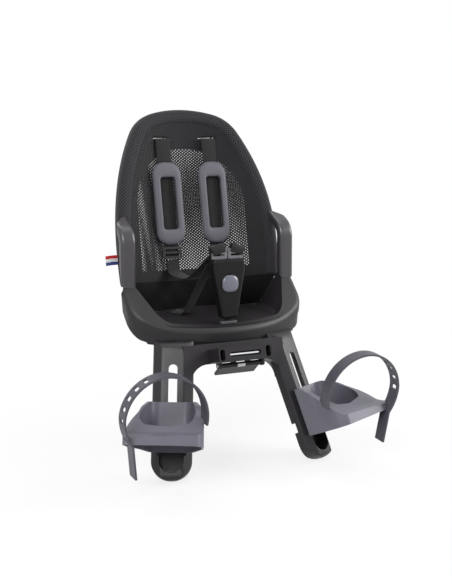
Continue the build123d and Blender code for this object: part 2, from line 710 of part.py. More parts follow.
with BuildPart() as mesh_panel:
    add(through_back(back_outline(RIM_BAND + GAP, MESH_BOTTOM)))
    add(bowl(0, MESH_THICK, 0, BACK_HEIGHT), mode=Mode.INTERSECT)
    add(strap_slots.part, mode=Mode.SUBTRACT)
mesh_panel.part.label = "mesh_panel"
export_step(mesh_panel.part, "parts/mesh_panel.step")

with BuildPart() as rear_mesh:
    add(through_back(back_outline(RIM_BAND + GAP, MESH_BOTTOM)))
    add(bowl(REAR_MESH_DEPTH, REAR_MESH_DEPTH + MESH_THICK, 0, BACK_HEIGHT), mode=Mode.INTERSECT)
rear_mesh.part.label = "rear_mesh"
export_step(rear_mesh.part, "parts/rear_mesh.step")

# Bolts that hold the back to the tub's rear wall
with BuildPart() as back_bolts:
    for x, height in BOLT_PLACES:
        with BuildSketch(bowl_plane(x, height, panel_back)):
            Circle(BOLT_HEAD_RADIUS)
            RegularPolygon(BOLT_SOCKET, 6, mode=Mode.SUBTRACT)
        extrude(amount=BOLT_HEAD)
        with BuildSketch(bowl_plane(x, height, panel_back)):
            Circle(BOLT_HEAD_RADIUS)
        extrude(amount=BOLT_HEAD / 3)
        with BuildSketch(bowl_plane(x, height, panel_back)):
            Circle(BOLT_RADIUS)
        extrude(amount=-panel_back - REAR_WALL)
back_bolts.part.label = "back_bolts"
export_step(back_bolts.part, "parts/back_bolts.step")
with BuildPart() as bolt_holes:
    for x, height in BOLT_PLACES:
        with BuildSketch(bowl_plane(x, height, panel_back)):
            Circle(BOLT_RADIUS + PIN_GAP)
        extrude(amount=-3 * panel_back)


def screw_at(plane, radius, length, head_radius, head):
    """A socket-head screw: the head lies above the plane and the shank below it."""
    with BuildPart() as screw:
        with BuildSketch(plane):
            Circle(head_radius)
        extrude(amount=head)
        with BuildSketch(plane.offset(head / 3)):
            RegularPolygon(radius, 6)
        extrude(amount=head, mode=Mode.SUBTRACT)
        with BuildSketch(plane):
            Circle(radius)
        extrude(amount=-length)
    return screw.part


def hole_at(plane, radius, length):
    """A round hole that runs down from a plane, to be cut out."""
    with BuildPart() as hole:
        with BuildSketch(plane):
            Circle(radius)
        extrude(amount=-length)
    return hole.part


# Screws of the armrests: one through the back's rim, one up through the pan's rim
shelf_drop = RIM_DEPTH + GAP + SHELL_WALL + SCREW_HEAD_RADIUS * tan(radians(RIM_SLOPE))
root_screw_plane = straight_plane(ARM_SCREW_X, ARM_ROOT_HEIGHT, ROOT_SCREW_SETBACK)
foot_screw_plane = Plane(
    origin=(ARM_X, ARM_SCREW_Y, rim_height(ARM_SCREW_Y, shelf_drop)), x_dir=(1, 0, 0), z_dir=(0, 0, -1)
)
root_screw_length = ROOT_SCREW_SETBACK + ARM_ROOT_BITE
foot_screw_length = shelf_drop + ARM_SCREW_BITE
with BuildPart() as arm_screw_room:
    add(hole_at(root_screw_plane, SCREW_RADIUS + PIN_GAP, root_screw_length + PIN_GAP))
    add(hole_at(foot_screw_plane, SCREW_RADIUS + PIN_GAP, foot_screw_length + PIN_GAP))

with BuildPart() as armrest_right:
    with BuildLine(Plane.YZ.offset(ARM_X)) as arm_path:
        FilletPolyline(
            (ARM_ROOT_Y, ARM_ROOT_Z),
            (ARM_BEND_Y, ARM_BEND_Z),
            (ARM_FOOT_Y, ARM_FOOT_Z),
            radius=ARM_BEND_RADIUS,
        )
    with BuildSketch(Plane(origin=arm_path.wire() @ 0, x_dir=(1, 0, 0), z_dir=arm_path.wire() % 0)):
        RectangleRounded(ARM_WIDTH, ARM_THICK, ARM_EDGE)
    sweep()
    add(bowl(-GAP, BACK_BOWL_RADIUS / 2, 0, BACK_HEIGHT), mode=Mode.SUBTRACT)
    add(under_rim(-GAP, -GAP), mode=Mode.SUBTRACT)
    add(arm_screw_room.part, mode=Mode.SUBTRACT)
armrest_right.part.label = "armrest_right"
export_step(armrest_right.part, "parts/armrest_right.step")

with BuildPart() as armrest_left:
    mirror(armrest_right.part, about=Plane.YZ)
armrest_left.part.label = "armrest_left"
export_step(armrest_left.part, "parts/armrest_left.step")

with BuildPart() as armrest_screws:
    add(screw_at(root_screw_plane, SCREW_RADIUS, root_screw_length, SCREW_HEAD_RADIUS, SCREW_HEAD))
    add(screw_at(foot_screw_plane, SCREW_RADIUS, foot_screw_length, SCREW_HEAD_RADIUS, SCREW_HEAD))
    mirror(about=Plane.YZ)
armrest_screws.part.label = "armrest_screws"
export_step(armrest_screws.part, "parts/armrest_screws.step")


# Harness
def standing_plane(start, end):
    """Upright plane through two points of the ground plan: local X runs along it, local Y is height."""
    run = (Vector(end[0], end[1]) - Vector(start[0], start[1])).normalized()
    return Plane(origin=(start[0], start[1], 0), x_dir=run, z_dir=run.cross(Vector(0, 0, 1)))


def webbing(plane, points, radii, width=WEBBING, thick=WEBBING_THICK):
    """A flat band that follows a bent line on a plane, its width square to the plane."""
    with BuildPart() as band:
        with BuildSketch(plane):
            with BuildLine():
                FilletPolyline(*points, radius=radii)
            trace(line_width=thick)
        extrude(amount=width / 2, both=True)
    return band.part


# Plane along a shoulder strap: local X up the recline, local Y out of the bowl
STRAP_SIDE = Plane(origin=back_foot + Vector(STRAP_X, 0, 0), x_dir=back_up, z_dir=back_up.cross(back_out))
strap_mid = STRAP_FRONT - WEBBING_THICK / 2
strap_back_end = ANCHOR_BAR_RADIUS + GAP - ANCHOR_BAR_DEPTH
with BuildPart() as shoulder_strap_right:
    add(
        webbing(
            STRAP_SIDE,
            [(STRAP_END, strap_mid), (STRAP_SLOT_HEIGHT, strap_mid), (STRAP_SLOT_HEIGHT, strap_back_end)],
            STRAP_TURN,
        )
    )
shoulder_strap_right.part.label = "shoulder_strap_right"
export_step(shoulder_strap_right.part, "parts/shoulder_strap_right.step")

with BuildPart() as strap_anchor_bar:
    with BuildSketch(Plane.YZ.offset(-ANCHOR_BAR_LENGTH / 2)):
        bar_place = back_foot + back_up * STRAP_SLOT_HEIGHT - back_out * ANCHOR_BAR_DEPTH
        with Locations((bar_place.Y, bar_place.Z)):
            Circle(ANCHOR_BAR_RADIUS)
    extrude(amount=ANCHOR_BAR_LENGTH)
strap_anchor_bar.part.label = "strap_anchor_bar"
export_step(strap_anchor_bar.part, "parts/strap_anchor_bar.step")

with BuildPart() as shoulder_pad_right:
    with BuildSketch(BACK.offset(STRAP_FRONT + SLIDE_GAP)):
        with Locations((STRAP_X, PAD_MIDDLE)):
            RectangleRounded(PAD_WIDTH, PAD_LENGTH, PAD_CORNER)
            RectangleRounded(PAD_WINDOW_WIDTH, PAD_WINDOW_LENGTH, PAD_WINDOW_CORNER, mode=Mode.SUBTRACT)
    extrude(amount=PAD_THICK)
    fillet(shoulder_pad_right.faces().sort_by(Axis(back_foot, back_out))[-1].edges(), radius=PAD_EDGE)
shoulder_pad_right.part.label = "shoulder_pad_right"
export_step(shoulder_pad_right.part, "parts/shoulder_pad_right.step")

with BuildPart() as strap_adjuster_right:
    with BuildSketch(BACK.offset(STRAP_FRONT + SLIDE_GAP)):
        with Locations((STRAP_X, ADJUSTER_MIDDLE)):
            RectangleRounded(ADJUSTER_WIDTH, ADJUSTER_LENGTH, ADJUSTER_BAR)
            slot_offset = (ADJUSTER_SLOT + ADJUSTER_BAR) / 2
            with Locations((0, -slot_offset), (0, slot_offset)):
                Rectangle(WEBBING + SLIDE_GAP, ADJUSTER_SLOT, mode=Mode.SUBTRACT)
    extrude(amount=ADJUSTER_THICK)
strap_adjuster_right.part.label = "strap_adjuster_right"
export_step(strap_adjuster_right.part, "parts/strap_adjuster_right.step")

# Buckle, on a plane of its own: local Y up the buckle, local Z out of its front
buckle_lean = radians(BUCKLE_LEAN)
buckle_up = Vector(0, sin(buckle_lean), cos(buckle_lean))
buckle_out = Vector(0, -cos(buckle_lean), sin(buckle_lean))
buckle_foot = Vector(*BUCKLE_FOOT)
BUCKLE = Plane(origin=buckle_foot, x_dir=(1, 0, 0), z_dir=buckle_out)
BUCKLE_TOP = BUCKLE_OUTLINE[-1][1]
BUCKLE_BOTTOM = BUCKLE_OUTLINE[0][1]
with BuildSketch() as buckle_outline:
    Polygon(*BUCKLE_OUTLINE, *[(-x, y) for x, y in reversed(BUCKLE_OUTLINE)], align=None)
    fillet(buckle_outline.vertices().group_by(Axis.Y)[0], radius=BUCKLE_CORNER)
    fillet(buckle_outline.vertices().group_by(Axis.Y)[-1], radius=BUCKLE_CORNER)
with BuildPart() as buckle_rooms:
    # Slots for the two tongues and for the strap between the legs
    with BuildSketch(BUCKLE.offset(-TONGUE_THICK / 2 - SLIDE_GAP)):
        tab_middle = (TONGUE_INSIDE + TONGUE_OUTSIDE) / 2
        tab_room = (TONGUE_TAB + 2 * SLIDE_GAP, 2 * (TONGUE_BITE + SLIDE_GAP))
        with Locations((-tab_middle, BUCKLE_TOP), (tab_middle, BUCKLE_TOP)):
            Rectangle(*tab_room)
    extrude(amount=TONGUE_THICK + 2 * SLIDE_GAP)
    with BuildSketch(BUCKLE.offset(-WEBBING_THICK / 2 - GAP)):
        with Locations((0, BUCKLE_BOTTOM)):
            Rectangle(CROTCH_WIDTH + 2 * GAP, 2 * TONGUE_BITE + 2 * GAP)
    extrude(amount=WEBBING_THICK + 2 * GAP)
    # Well for the button's travel and for its spring
    with BuildSketch(BUCKLE.offset(-BUTTON_TRAVEL - SLIDE_GAP)):
        with Locations((0, BUTTON_HEIGHT)):
            Ellipse(BUTTON_HALF_WIDTH + SLIDE_GAP, BUTTON_HALF_HEIGHT + SLIDE_GAP)
    extrude(amount=BUCKLE_FRONT + 2 * BUTTON_TRAVEL)
    with BuildSketch(BUCKLE.offset(-BUTTON_TRAVEL - SPRING_SEAT)):
        with Locations((0, BUTTON_HEIGHT)):
            Circle(SPRING_RADIUS + SPRING_WIRE + SLIDE_GAP)
    extrude(amount=SPRING_SEAT)

with BuildPart() as buckle_body:
    with BuildSketch(BUCKLE):
        add(buckle_outline.sketch)
    extrude(amount=-BUCKLE_BACK)
    fillet(buckle_body.faces().sort_by(Axis(buckle_foot, buckle_out))[0].edges(), radius=BUCKLE_EDGE)
    add(buckle_rooms.part, mode=Mode.SUBTRACT)
buckle_body.part.label = "buckle_body"
export_step(buckle_body.part, "parts/buckle_body.step")

with BuildPart() as buckle_cover:
    with BuildSketch(BUCKLE):
        add(buckle_outline.sketch)
    extrude(amount=BUCKLE_FRONT)
    fillet(buckle_cover.faces().sort_by(Axis(buckle_foot, buckle_out))[-1].edges(), radius=BUCKLE_EDGE)
    add(buckle_rooms.part, mode=Mode.SUBTRACT)
buckle_cover.part.label = "buckle_cover"
export_step(buckle_cover.part, "parts/buckle_cover.step")

with BuildPart() as buckle_button:
    with BuildSketch(BUCKLE.offset(BUTTON_SEAT)):
        with Locations((0, BUTTON_HEIGHT)):
            Ellipse(BUTTON_HALF_WIDTH, BUTTON_HALF_HEIGHT)
    extrude(amount=BUCKLE_FRONT + BUTTON_PROUD - BUTTON_SEAT)
    fillet(buckle_button.faces().sort_by(Axis(buckle_foot, buckle_out))[-1].edges(), radius=BUTTON_EDGE)
buckle_button.part.label = "buckle_button"
export_step(buckle_button.part, "parts/buckle_button.step")

# Coil spring as a stack of turns, from its seat to the button
spring_length = BUTTON_SEAT + BUTTON_TRAVEL + SPRING_SEAT - 2 * GAP
spring_pitch = (spring_length - 2 * SPRING_WIRE) / (SPRING_TURNS - 1)
spring_middle = buckle_foot + buckle_up * BUTTON_HEIGHT
with BuildPart() as button_spring:
    for turn in range(SPRING_TURNS):
        lift = SPRING_WIRE + GAP - BUTTON_TRAVEL - SPRING_SEAT + turn * spring_pitch
        with BuildSketch(Plane(origin=spring_middle, x_dir=(1, 0, 0), z_dir=buckle_up)):
            with Locations((SPRING_RADIUS, -lift)):
                RegularPolygon(SPRING_WIRE, 6, rotation=30)
        revolve(axis=Axis(spring_middle, buckle_out))
button_spring.part.label = "button_spring"
export_step(button_spring.part, "parts/button_spring.step")

with BuildPart() as tongue_right:
    with BuildSketch(BUCKLE.offset(-TONGUE_THICK / 2)):
        Polygon(
            (TONGUE_INSIDE, BUCKLE_TOP + GAP),
            (TONGUE_OUTSIDE, BUCKLE_TOP + GAP),
            (TONGUE_OUTSIDE, BUCKLE_TOP + TONGUE_EAVE),
            (TONGUE_INSIDE, BUCKLE_TOP + TONGUE_PEAK),
            align=None,
        )
        with Locations((tab_middle, BUCKLE_TOP)):
            Rectangle(TONGUE_TAB, 2 * TONGUE_BITE - 2 * GAP)
            with Locations((0, (TONGUE_EAVE + TONGUE_SLOT) / 2)):
                SlotOverall(TONGUE_SLOT_LENGTH, TONGUE_SLOT, mode=Mode.SUBTRACT)
        with Locations((tab_middle, BUCKLE_TOP - TONGUE_BITE)):
            Rectangle(TONGUE_TAB, 4 * SLIDE_GAP, mode=Mode.SUBTRACT)
    extrude(amount=TONGUE_THICK)
tongue_right.part.label = "tongue_right"
export_step(tongue_right.part, "parts/tongue_right.step")

# Band from the adjuster down and forward to the tongue
lower_start = back_foot + back_up * (ADJUSTER_MIDDLE - ADJUSTER_LENGTH / 2 - GAP - WEBBING_THICK)
tongue_top = buckle_foot + buckle_up * (BUCKLE_TOP + TONGUE_EAVE) - buckle_out * LOWER_STRAP_BEHIND
LOWER_SIDE = standing_plane((STRAP_X, lower_start.Y), (tab_middle, tongue_top.Y))
lower_run = ((STRAP_X - tab_middle) ** 2 + (lower_start.Y - tongue_top.Y) ** 2) ** 0.5
with BuildPart() as lower_strap_right:
    add(
        webbing(
            LOWER_SIDE,
            [(0, lower_start.Z), *LOWER_STRAP_ROUTE, (lower_run, tongue_top.Z)],
            LOWER_STRAP_RADII,
        )
    )
lower_strap_right.part.label = "lower_strap_right"
export_step(lower_strap_right.part, "parts/lower_strap_right.step")

# Band from the tongue back to a slot in the seat floor
HIP_SIDE = standing_plane(HIP_START, HIP_END)
hip_run = ((HIP_END[0] - HIP_START[0]) ** 2 + (HIP_END[1] - HIP_START[1]) ** 2) ** 0.5
hip_floor = FLOOR_Z + GAP + WEBBING_THICK / 2
with BuildPart() as hip_strap_right:
    add(
        webbing(
            HIP_SIDE,
            [
                (0, HIP_START[2]),
                HIP_KNEE,
                (HIP_LANDING, hip_floor),
                (hip_run, hip_floor),
                (hip_run, FLOOR_Z - LINER_WALL + GAP),
            ],
            HIP_RADII,
        )
    )
hip_strap_right.part.label = "hip_strap_right"
export_step(hip_strap_right.part, "parts/hip_strap_right.step")

# Band between the legs, and the clip that it passes through on the floor
clip_middle = (FLOOR_Z + CROTCH_CLIP_LIFT + CROTCH_CLIP_THICK / 2 - buckle_foot.Z) / cos(buckle_lean)
CLIP_PLACE = (0, (buckle_foot + buckle_up * clip_middle).Y)
with BuildPart() as crotch_strap:
    with BuildSketch(BUCKLE.offset(-WEBBING_THICK / 2)):
        Polygon(
            (-CROTCH_WIDTH / 2, FLOOR_Z - LINER_WALL + GAP - buckle_foot.Z),
            (CROTCH_WIDTH / 2, FLOOR_Z - LINER_WALL + GAP - buckle_foot.Z),
            (CROTCH_WIDTH / 2, BUCKLE_BOTTOM + TONGUE_BITE - GAP),
            (-CROTCH_WIDTH / 2, BUCKLE_BOTTOM + TONGUE_BITE - GAP),
            align=None,
        )
    extrude(amount=WEBBING_THICK)
crotch_strap.part.label = "crotch_strap"
export_step(crotch_strap.part, "parts/crotch_strap.step")

with BuildPart() as crotch_anchor:
    with BuildSketch(Plane.XY.offset(FLOOR_Z + CROTCH_CLIP_LIFT)):
        with Locations(CLIP_PLACE):
            RectangleRounded(CROTCH_CLIP_WIDTH, CROTCH_CLIP_LENGTH, CROTCH_CLIP_LENGTH / 3)
            Rectangle(CROTCH_WIDTH + 2 * GAP, WEBBING_THICK + 4 * GAP, mode=Mode.SUBTRACT)
    extrude(amount=CROTCH_CLIP_THICK)
    fillet(crotch_anchor.faces().sort_by(Axis.Z)[-1].outer_wire().edges(), radius=CROTCH_CLIP_EDGE)
crotch_anchor.part.label = "crotch_anchor"
export_step(crotch_anchor.part, "parts/crotch_anchor.step")

# Left-hand harness pieces
with BuildPart() as shoulder_strap_left:
    mirror(shoulder_strap_right.part, about=Plane.YZ)
shoulder_strap_left.part.label = "shoulder_strap_left"
export_step(shoulder_strap_left.part, "parts/shoulder_strap_left.step")
with BuildPart() as shoulder_pad_left:
    mirror(shoulder_pad_right.part, about=Plane.YZ)
shoulder_pad_left.part.label = "shoulder_pad_left"
export_step(shoulder_pad_left.part, "parts/shoulder_pad_left.step")
with BuildPart() as strap_adjuster_left:
    mirror(strap_adjuster_right.part, about=Plane.YZ)
strap_adjuster_left.part.label = "strap_adjuster_left"
export_step(strap_adjuster_left.part, "parts/strap_adjuster_left.step")
with BuildPart() as tongue_left:
    mirror(tongue_right.part, about=Plane.YZ)
tongue_left.part.label = "tongue_left"
export_step(tongue_left.part, "parts/tongue_left.step")
with BuildPart() as lower_strap_left:
    mirror(lower_strap_right.part, about=Plane.YZ)
lower_strap_left.part.label = "lower_strap_left"
export_step(lower_strap_left.part, "parts/lower_strap_left.step")
with BuildPart() as hip_strap_left:
    mirror(hip_strap_right.part, about=Plane.YZ)
hip_strap_left.part.label = "hip_strap_left"
export_step(hip_strap_left.part, "parts/hip_strap_left.step")

# Striped tab sewn into the left seam of the back
tab_edge = BACK_HALF_WIDTH
with BuildPart() as ribbon_tab:
    tab_bottom = back_foot + back_up * (TAB_HEIGHT - TAB_WIDTH / 2) + back_out * TAB_DEPTH
    with BuildSketch(Plane(origin=tab_bottom, x_dir=(1, 0, 0), z_dir=back_up)):
        with Locations((-tab_edge - GAP - TAB_LENGTH / 2, 0)):
            Rectangle(TAB_LENGTH, TAB_THICK)
    extrude(amount=TAB_WIDTH)
ribbon_tab.part.label = "ribbon_tab"
export_step(ribbon_tab.part, "parts/ribbon_tab.step")

# Mount block, on its own plane: local Y up, local Z forwards; its side plane has X for depth
MOUNT_SIDE = Plane(origin=(0, 0, 0), x_dir=-mount_out, z_dir=(1, 0, 0))
lever_pivot = (LEVER_DEPTH, -LEVER_DROP)
MOUNT_SCREW_PLACES = [(side * x, MOUNT_SCREW_RISE) for side in (-1, 1) for x in MOUNT_SCREW_SPREAD]
guide_half = ROD_RADIUS + SLIDE_GAP
lug_inside = LEVER_HALF_WIDTH + SLIDE_GAP
with BuildPart() as mount_block:
    with BuildSketch(MOUNT):
        RectangleRounded(BLOCK_WIDTH, BLOCK_HEIGHT, BLOCK_EDGE)
    extrude(amount=-BLOCK_DEPTH)
    # Two slots for the tabs of the stem fitting
    with BuildSketch(MOUNT):
        with Locations((-TAB_SLOT_SPREAD / 2, 0), (TAB_SLOT_SPREAD / 2, 0)):
            SlotOverall(TAB_SLOT_HEIGHT, TAB_SLOT_WIDTH, rotation=90)
    extrude(amount=-TAB_SLOT_DEPTH, mode=Mode.SUBTRACT)
    # Slot that shows the locking rod, and the guide that the rod's frame slides in
    with BuildSketch(MOUNT):
        SlotOverall(ROD_SLOT_LENGTH, 2 * guide_half)
    extrude(amount=-ROD_DEPTH, mode=Mode.SUBTRACT)
    with BuildSketch(MOUNT.offset(-GUIDE_FRONT)):
        Rectangle(2 * (ROD_HALF_WIDTH + guide_half), 2 * guide_half)
    extrude(amount=-BLOCK_DEPTH, mode=Mode.SUBTRACT)
    # Openings in the underside for the lever's two arms
    with BuildSketch(MOUNT_SIDE):
        Polygon(
            (LEVER_ARM_FRONT - SLIDE_GAP, -BLOCK_HEIGHT),
            (LEVER_ARM_FRONT - SLIDE_GAP, 0),
            (BLOCK_DEPTH, 0),
            (BLOCK_DEPTH, -BLOCK_HEIGHT),
            align=None,
        )
    arm_reach = LEVER_ARM_X + LEVER_ARM_WIDTH / 2 + SLIDE_GAP
    extrude(amount=arm_reach, both=True, mode=Mode.SUBTRACT)
    # Lugs for the lever's pin
    for side in (1, -1):
        with BuildSketch(MOUNT_SIDE.offset(side * (lug_inside + LUG_WIDTH / 2))):
            with Locations(lever_pivot):
                Circle(LUG_RADIUS)
                Rectangle(2 * LUG_RADIUS, LEVER_DROP - BLOCK_HEIGHT / 4, align=(Align.CENTER, Align.MIN))
        extrude(amount=LUG_WIDTH / 2, both=True)
    with BuildSketch(MOUNT_SIDE.offset(-BLOCK_WIDTH / 2)):
        with Locations(lever_pivot):
            Circle(PIN_RADIUS + PIN_GAP)
    extrude(amount=BLOCK_WIDTH, mode=Mode.SUBTRACT)
    with BuildSketch(MOUNT.offset(-BLOCK_DEPTH)):
        with Locations(*MOUNT_SCREW_PLACES):
            Circle(SCREW_RADIUS + PIN_GAP)
    extrude(amount=MOUNT_SCREW_BITE + PIN_GAP, mode=Mode.SUBTRACT)
mount_block.part.label = "mount_block"
export_step(mount_block.part, "parts/mount_block.step")

# Locking rod, bent to a closed frame: local Y of its plane points forwards
ROD_PLANE = Plane(origin=(0, 0, 0), x_dir=(1, 0, 0), z_dir=Vector(1, 0, 0).cross(mount_out))
with BuildPart() as lock_bar:
    with BuildLine(ROD_PLANE) as rod_path:
        FilletPolyline(
            (ROD_HALF_WIDTH, -ROD_DEPTH),
            (ROD_HALF_WIDTH, -ROD_REAR_DEPTH),
            (-ROD_HALF_WIDTH, -ROD_REAR_DEPTH),
            (-ROD_HALF_WIDTH, -ROD_DEPTH),
            radius=ROD_BEND,
            close=True,
        )
    with BuildSketch(Plane(origin=rod_path.wire() @ 0, z_dir=rod_path.wire() % 0)):
        Circle(ROD_RADIUS)
    sweep()
lock_bar.part.label = "lock_bar"
export_step(lock_bar.part, "parts/lock_bar.step")

with BuildPart() as release_lever:
    with BuildSketch(MOUNT_SIDE):
        with BuildLine():
            Polyline(lever_pivot, LEVER_KNEE, LEVER_TIP)
        trace(line_width=LEVER_PLATE)
        with Locations(lever_pivot):
            Circle(LEVER_HUB)
    extrude(amount=LEVER_HALF_WIDTH, both=True)
    for side in (1, -1):
        with BuildSketch(MOUNT_SIDE.offset(side * LEVER_ARM_X)):
            with Locations((LEVER_ARM_FRONT + LEVER_ARM_THICK / 2, LEVER_ARM_TOP)):
                Rectangle(LEVER_ARM_THICK, LEVER_ARM_TOP + LEVER_DROP, align=(Align.CENTER, Align.MAX))
        extrude(amount=LEVER_ARM_WIDTH / 2, both=True)
    # Gap in the hub for the spring, and the pin's bore
    with BuildSketch(MOUNT_SIDE):
        with Locations(lever_pivot):
            Circle(LEVER_HUB + SLIDE_GAP)
    extrude(amount=COIL_HALF_WIDTH, both=True, mode=Mode.SUBTRACT)
    with BuildSketch(MOUNT_SIDE):
        with Locations(lever_pivot):
            Circle(PIN_RADIUS + PIN_GAP)
    extrude(amount=BLOCK_WIDTH, both=True, mode=Mode.SUBTRACT)
release_lever.part.label = "release_lever"
export_step(release_lever.part, "parts/release_lever.step")

with BuildPart() as lever_pin:
    with BuildSketch(MOUNT_SIDE):
        with Locations(lever_pivot):
            Circle(PIN_RADIUS)
    extrude(amount=lug_inside + LUG_WIDTH, both=True)
lever_pin.part.label = "lever_pin"
export_step(lever_pin.part, "parts/lever_pin.step")

coil_radius = PIN_RADIUS + GAP + COIL_WIRE
coil_pitch = 2 * (COIL_HALF_WIDTH - COIL_WIRE - GAP) / (COIL_TURNS - 1)
PIVOT_FACE = MOUNT.offset(-LEVER_DEPTH)
pivot_axis = Axis(PIVOT_FACE.from_local_coords(Vector(0, -LEVER_DROP, 0)), (1, 0, 0))
with BuildPart() as lever_spring:
    for turn in range(COIL_TURNS):
        with BuildSketch(PIVOT_FACE):
            with Locations(((turn - (COIL_TURNS - 1) / 2) * coil_pitch, coil_radius - LEVER_DROP)):
                RegularPolygon(COIL_WIRE, 6)
        revolve(axis=pivot_axis)
lever_spring.part.label = "lever_spring"
export_step(lever_spring.part, "parts/lever_spring.step")

with BuildPart() as mount_screws:
    for x, rise in MOUNT_SCREW_PLACES:
        seat = Plane(
            origin=MOUNT.from_local_coords(Vector(x, rise, -BLOCK_DEPTH - SHELL_WALL)),
            x_dir=(1, 0, 0),
            z_dir=-mount_out,
        )
        add(screw_at(seat, SCREW_RADIUS, SHELL_WALL + MOUNT_SCREW_BITE, SCREW_HEAD_RADIUS, SCREW_HEAD))
mount_screws.part.label = "mount_screws"
export_step(mount_screws.part, "parts/mount_screws.step")


# Right foot cup: a deep heel cup whose wall drops to a flat toe, hollow from below
def foot_prism(points, corner, tip_corner, inset=0.0):
    """A ground plan in the leg's frame, its outermost corner of a radius of its own, drawn along the leg."""
    tip = max(points)
    with BuildPart() as prism:
        with BuildSketch(LEG_SECTION) as plan:
            Polygon(*points, align=None)
            fillet(plan.vertices().sort_by_distance(tip)[1:], radius=corner)
            fillet(plan.vertices().sort_by_distance(tip)[0], radius=tip_corner)
            if inset:
                offset(amount=-inset)
        extrude(amount=FOOT_BOTTOM)
    return prism.part


def foot_below(drop):
    """Everything in front of the leg and below the foot cup's edge line, lowered by drop."""
    heel = (-FOOT_WALL, FOOT_PROFILE[0][1] + drop)
    line = [(n, t + drop) for n, t in FOOT_PROFILE]
    with BuildPart() as below:
        with BuildSketch(LEG_SIDE.offset(-2 * LEG_WIDTH)) as side:
            Polygon(heel, *line, (line[-1][0], FOOT_BOTTOM), (-FOOT_WALL, FOOT_BOTTOM), align=None)
            for corner in line[:-1]:
                fillet(side.vertices().sort_by_distance(corner)[0], radius=FOOT_PROFILE_RADIUS)
        extrude(amount=4 * LEG_WIDTH)
    return below.part


def above_floor(floor):
    """Everything above the foot cup's sloping floor."""
    far = FOOT_PROFILE[-1][0]
    with BuildPart() as above:
        with BuildSketch(LEG_SIDE.offset(-2 * LEG_WIDTH)):
            Polygon((0, 0), (far, 0), (far, floor + far * FOOT_FLOOR_SLOPE), (0, floor), align=None)
        extrude(amount=4 * LEG_WIDTH)
    return above.part


# Line of the right foot strap, on an upright plane across the seat
STRAP_PLANE = Plane.XZ.offset(-FOOT_STRAP_Y)
with BuildLine() as strap_line:
    ThreePointArc(FOOT_STRAP_ROOT, FOOT_STRAP_RISE, FOOT_STRAP_TOP)
    ThreePointArc(FOOT_STRAP_TOP, FOOT_STRAP_FALL, FOOT_STRAP_SIDE)
    ThreePointArc(FOOT_STRAP_SIDE, FOOT_STRAP_TUCK, FOOT_STRAP_SLOT)
    Line(FOOT_STRAP_SLOT, FOOT_STRAP_TIP)


def foot_strap_band(room):
    """The strap over the foot, grown by some room on every side."""
    with BuildPart() as band:
        with BuildSketch(STRAP_PLANE):
            trace(strap_line.line, line_width=FOOT_STRAP_THICK + 2 * room)
        extrude(amount=FOOT_STRAP_WIDTH / 2 + room, both=True)
    return band.part


with BuildPart() as cup_hollow:
    add(foot_prism(FOOT_CUP, FOOT_CUP_CORNER, FOOT_CUP_CORNER))
    add(above_floor(FOOT_FLOOR), mode=Mode.INTERSECT)
with BuildPart() as cup_skin:
    add(foot_prism(FOOT_CUP, FOOT_CUP_CORNER, FOOT_CUP_CORNER, -FOOT_WALL))
    add(above_floor(FOOT_FLOOR + FOOT_WALL), mode=Mode.INTERSECT)
with BuildPart() as foot_under:
    add(foot_prism(FOOT_PLAN, FOOT_PLAN_CORNER, FOOT_TIP_CORNER, FOOT_WALL))
    add(foot_below(FOOT_WALL), mode=Mode.INTERSECT)
    add(cup_skin.part, mode=Mode.SUBTRACT)
clamp_face = LEG_FACE.offset(-SHELL_WALL - GAP)
with BuildPart() as footrest_right:
    add(foot_prism([(u, n + GAP) for u, n in FOOT_PLAN], FOOT_PLAN_CORNER, FOOT_TIP_CORNER))
    add(foot_below(0), mode=Mode.INTERSECT)
    add(cup_hollow.part, mode=Mode.SUBTRACT)
    add(foot_under.part, mode=Mode.SUBTRACT)
    # Boss that runs in the leg's slot
    with BuildSketch(clamp_face):
        with Locations((0, -BOSS_MIDDLE)):
            SlotOverall(BOSS_LENGTH, LEG_SLOT_WIDTH - 2 * SLIDE_GAP, rotation=90)
    extrude(amount=SHELL_WALL + GAP + FOOT_WALL)
    with BuildSketch(clamp_face):
        with Locations((0, -BOSS_MIDDLE)):
            Circle(CLAMP_SCREW_RADIUS + PIN_GAP)
    extrude(amount=CLAMP_BITE + PIN_GAP, mode=Mode.SUBTRACT)
    add(foot_strap_band(SLIDE_GAP), mode=Mode.SUBTRACT)
footrest_right.part.label = "footrest_right"
export_step(footrest_right.part, "parts/footrest_right.step")

with BuildPart() as clamp_plate_right:
    with BuildSketch(clamp_face):
        with Locations((0, -BOSS_MIDDLE)):
            RectangleRounded(CLAMP_WIDTH, CLAMP_LENGTH, CLAMP_HEAD)
            Circle(CLAMP_SCREW_RADIUS + PIN_GAP, mode=Mode.SUBTRACT)
    extrude(amount=-CLAMP_THICK)
clamp_plate_right.part.label = "clamp_plate_right"
export_step(clamp_plate_right.part, "parts/clamp_plate_right.step")

with BuildPart() as clamp_screw_right:
    clamp_seat = Plane(
        origin=leg_origin + leg_down * BOSS_MIDDLE - leg_front * (SHELL_WALL + GAP + CLAMP_THICK),
        x_dir=leg_out,
        z_dir=-leg_front,
    )
    add(screw_at(clamp_seat, CLAMP_SCREW_RADIUS, CLAMP_THICK + CLAMP_BITE, CLAMP_HEAD_RADIUS, CLAMP_HEAD))
clamp_screw_right.part.label = "clamp_screw_right"
export_step(clamp_screw_right.part, "parts/clamp_screw_right.step")

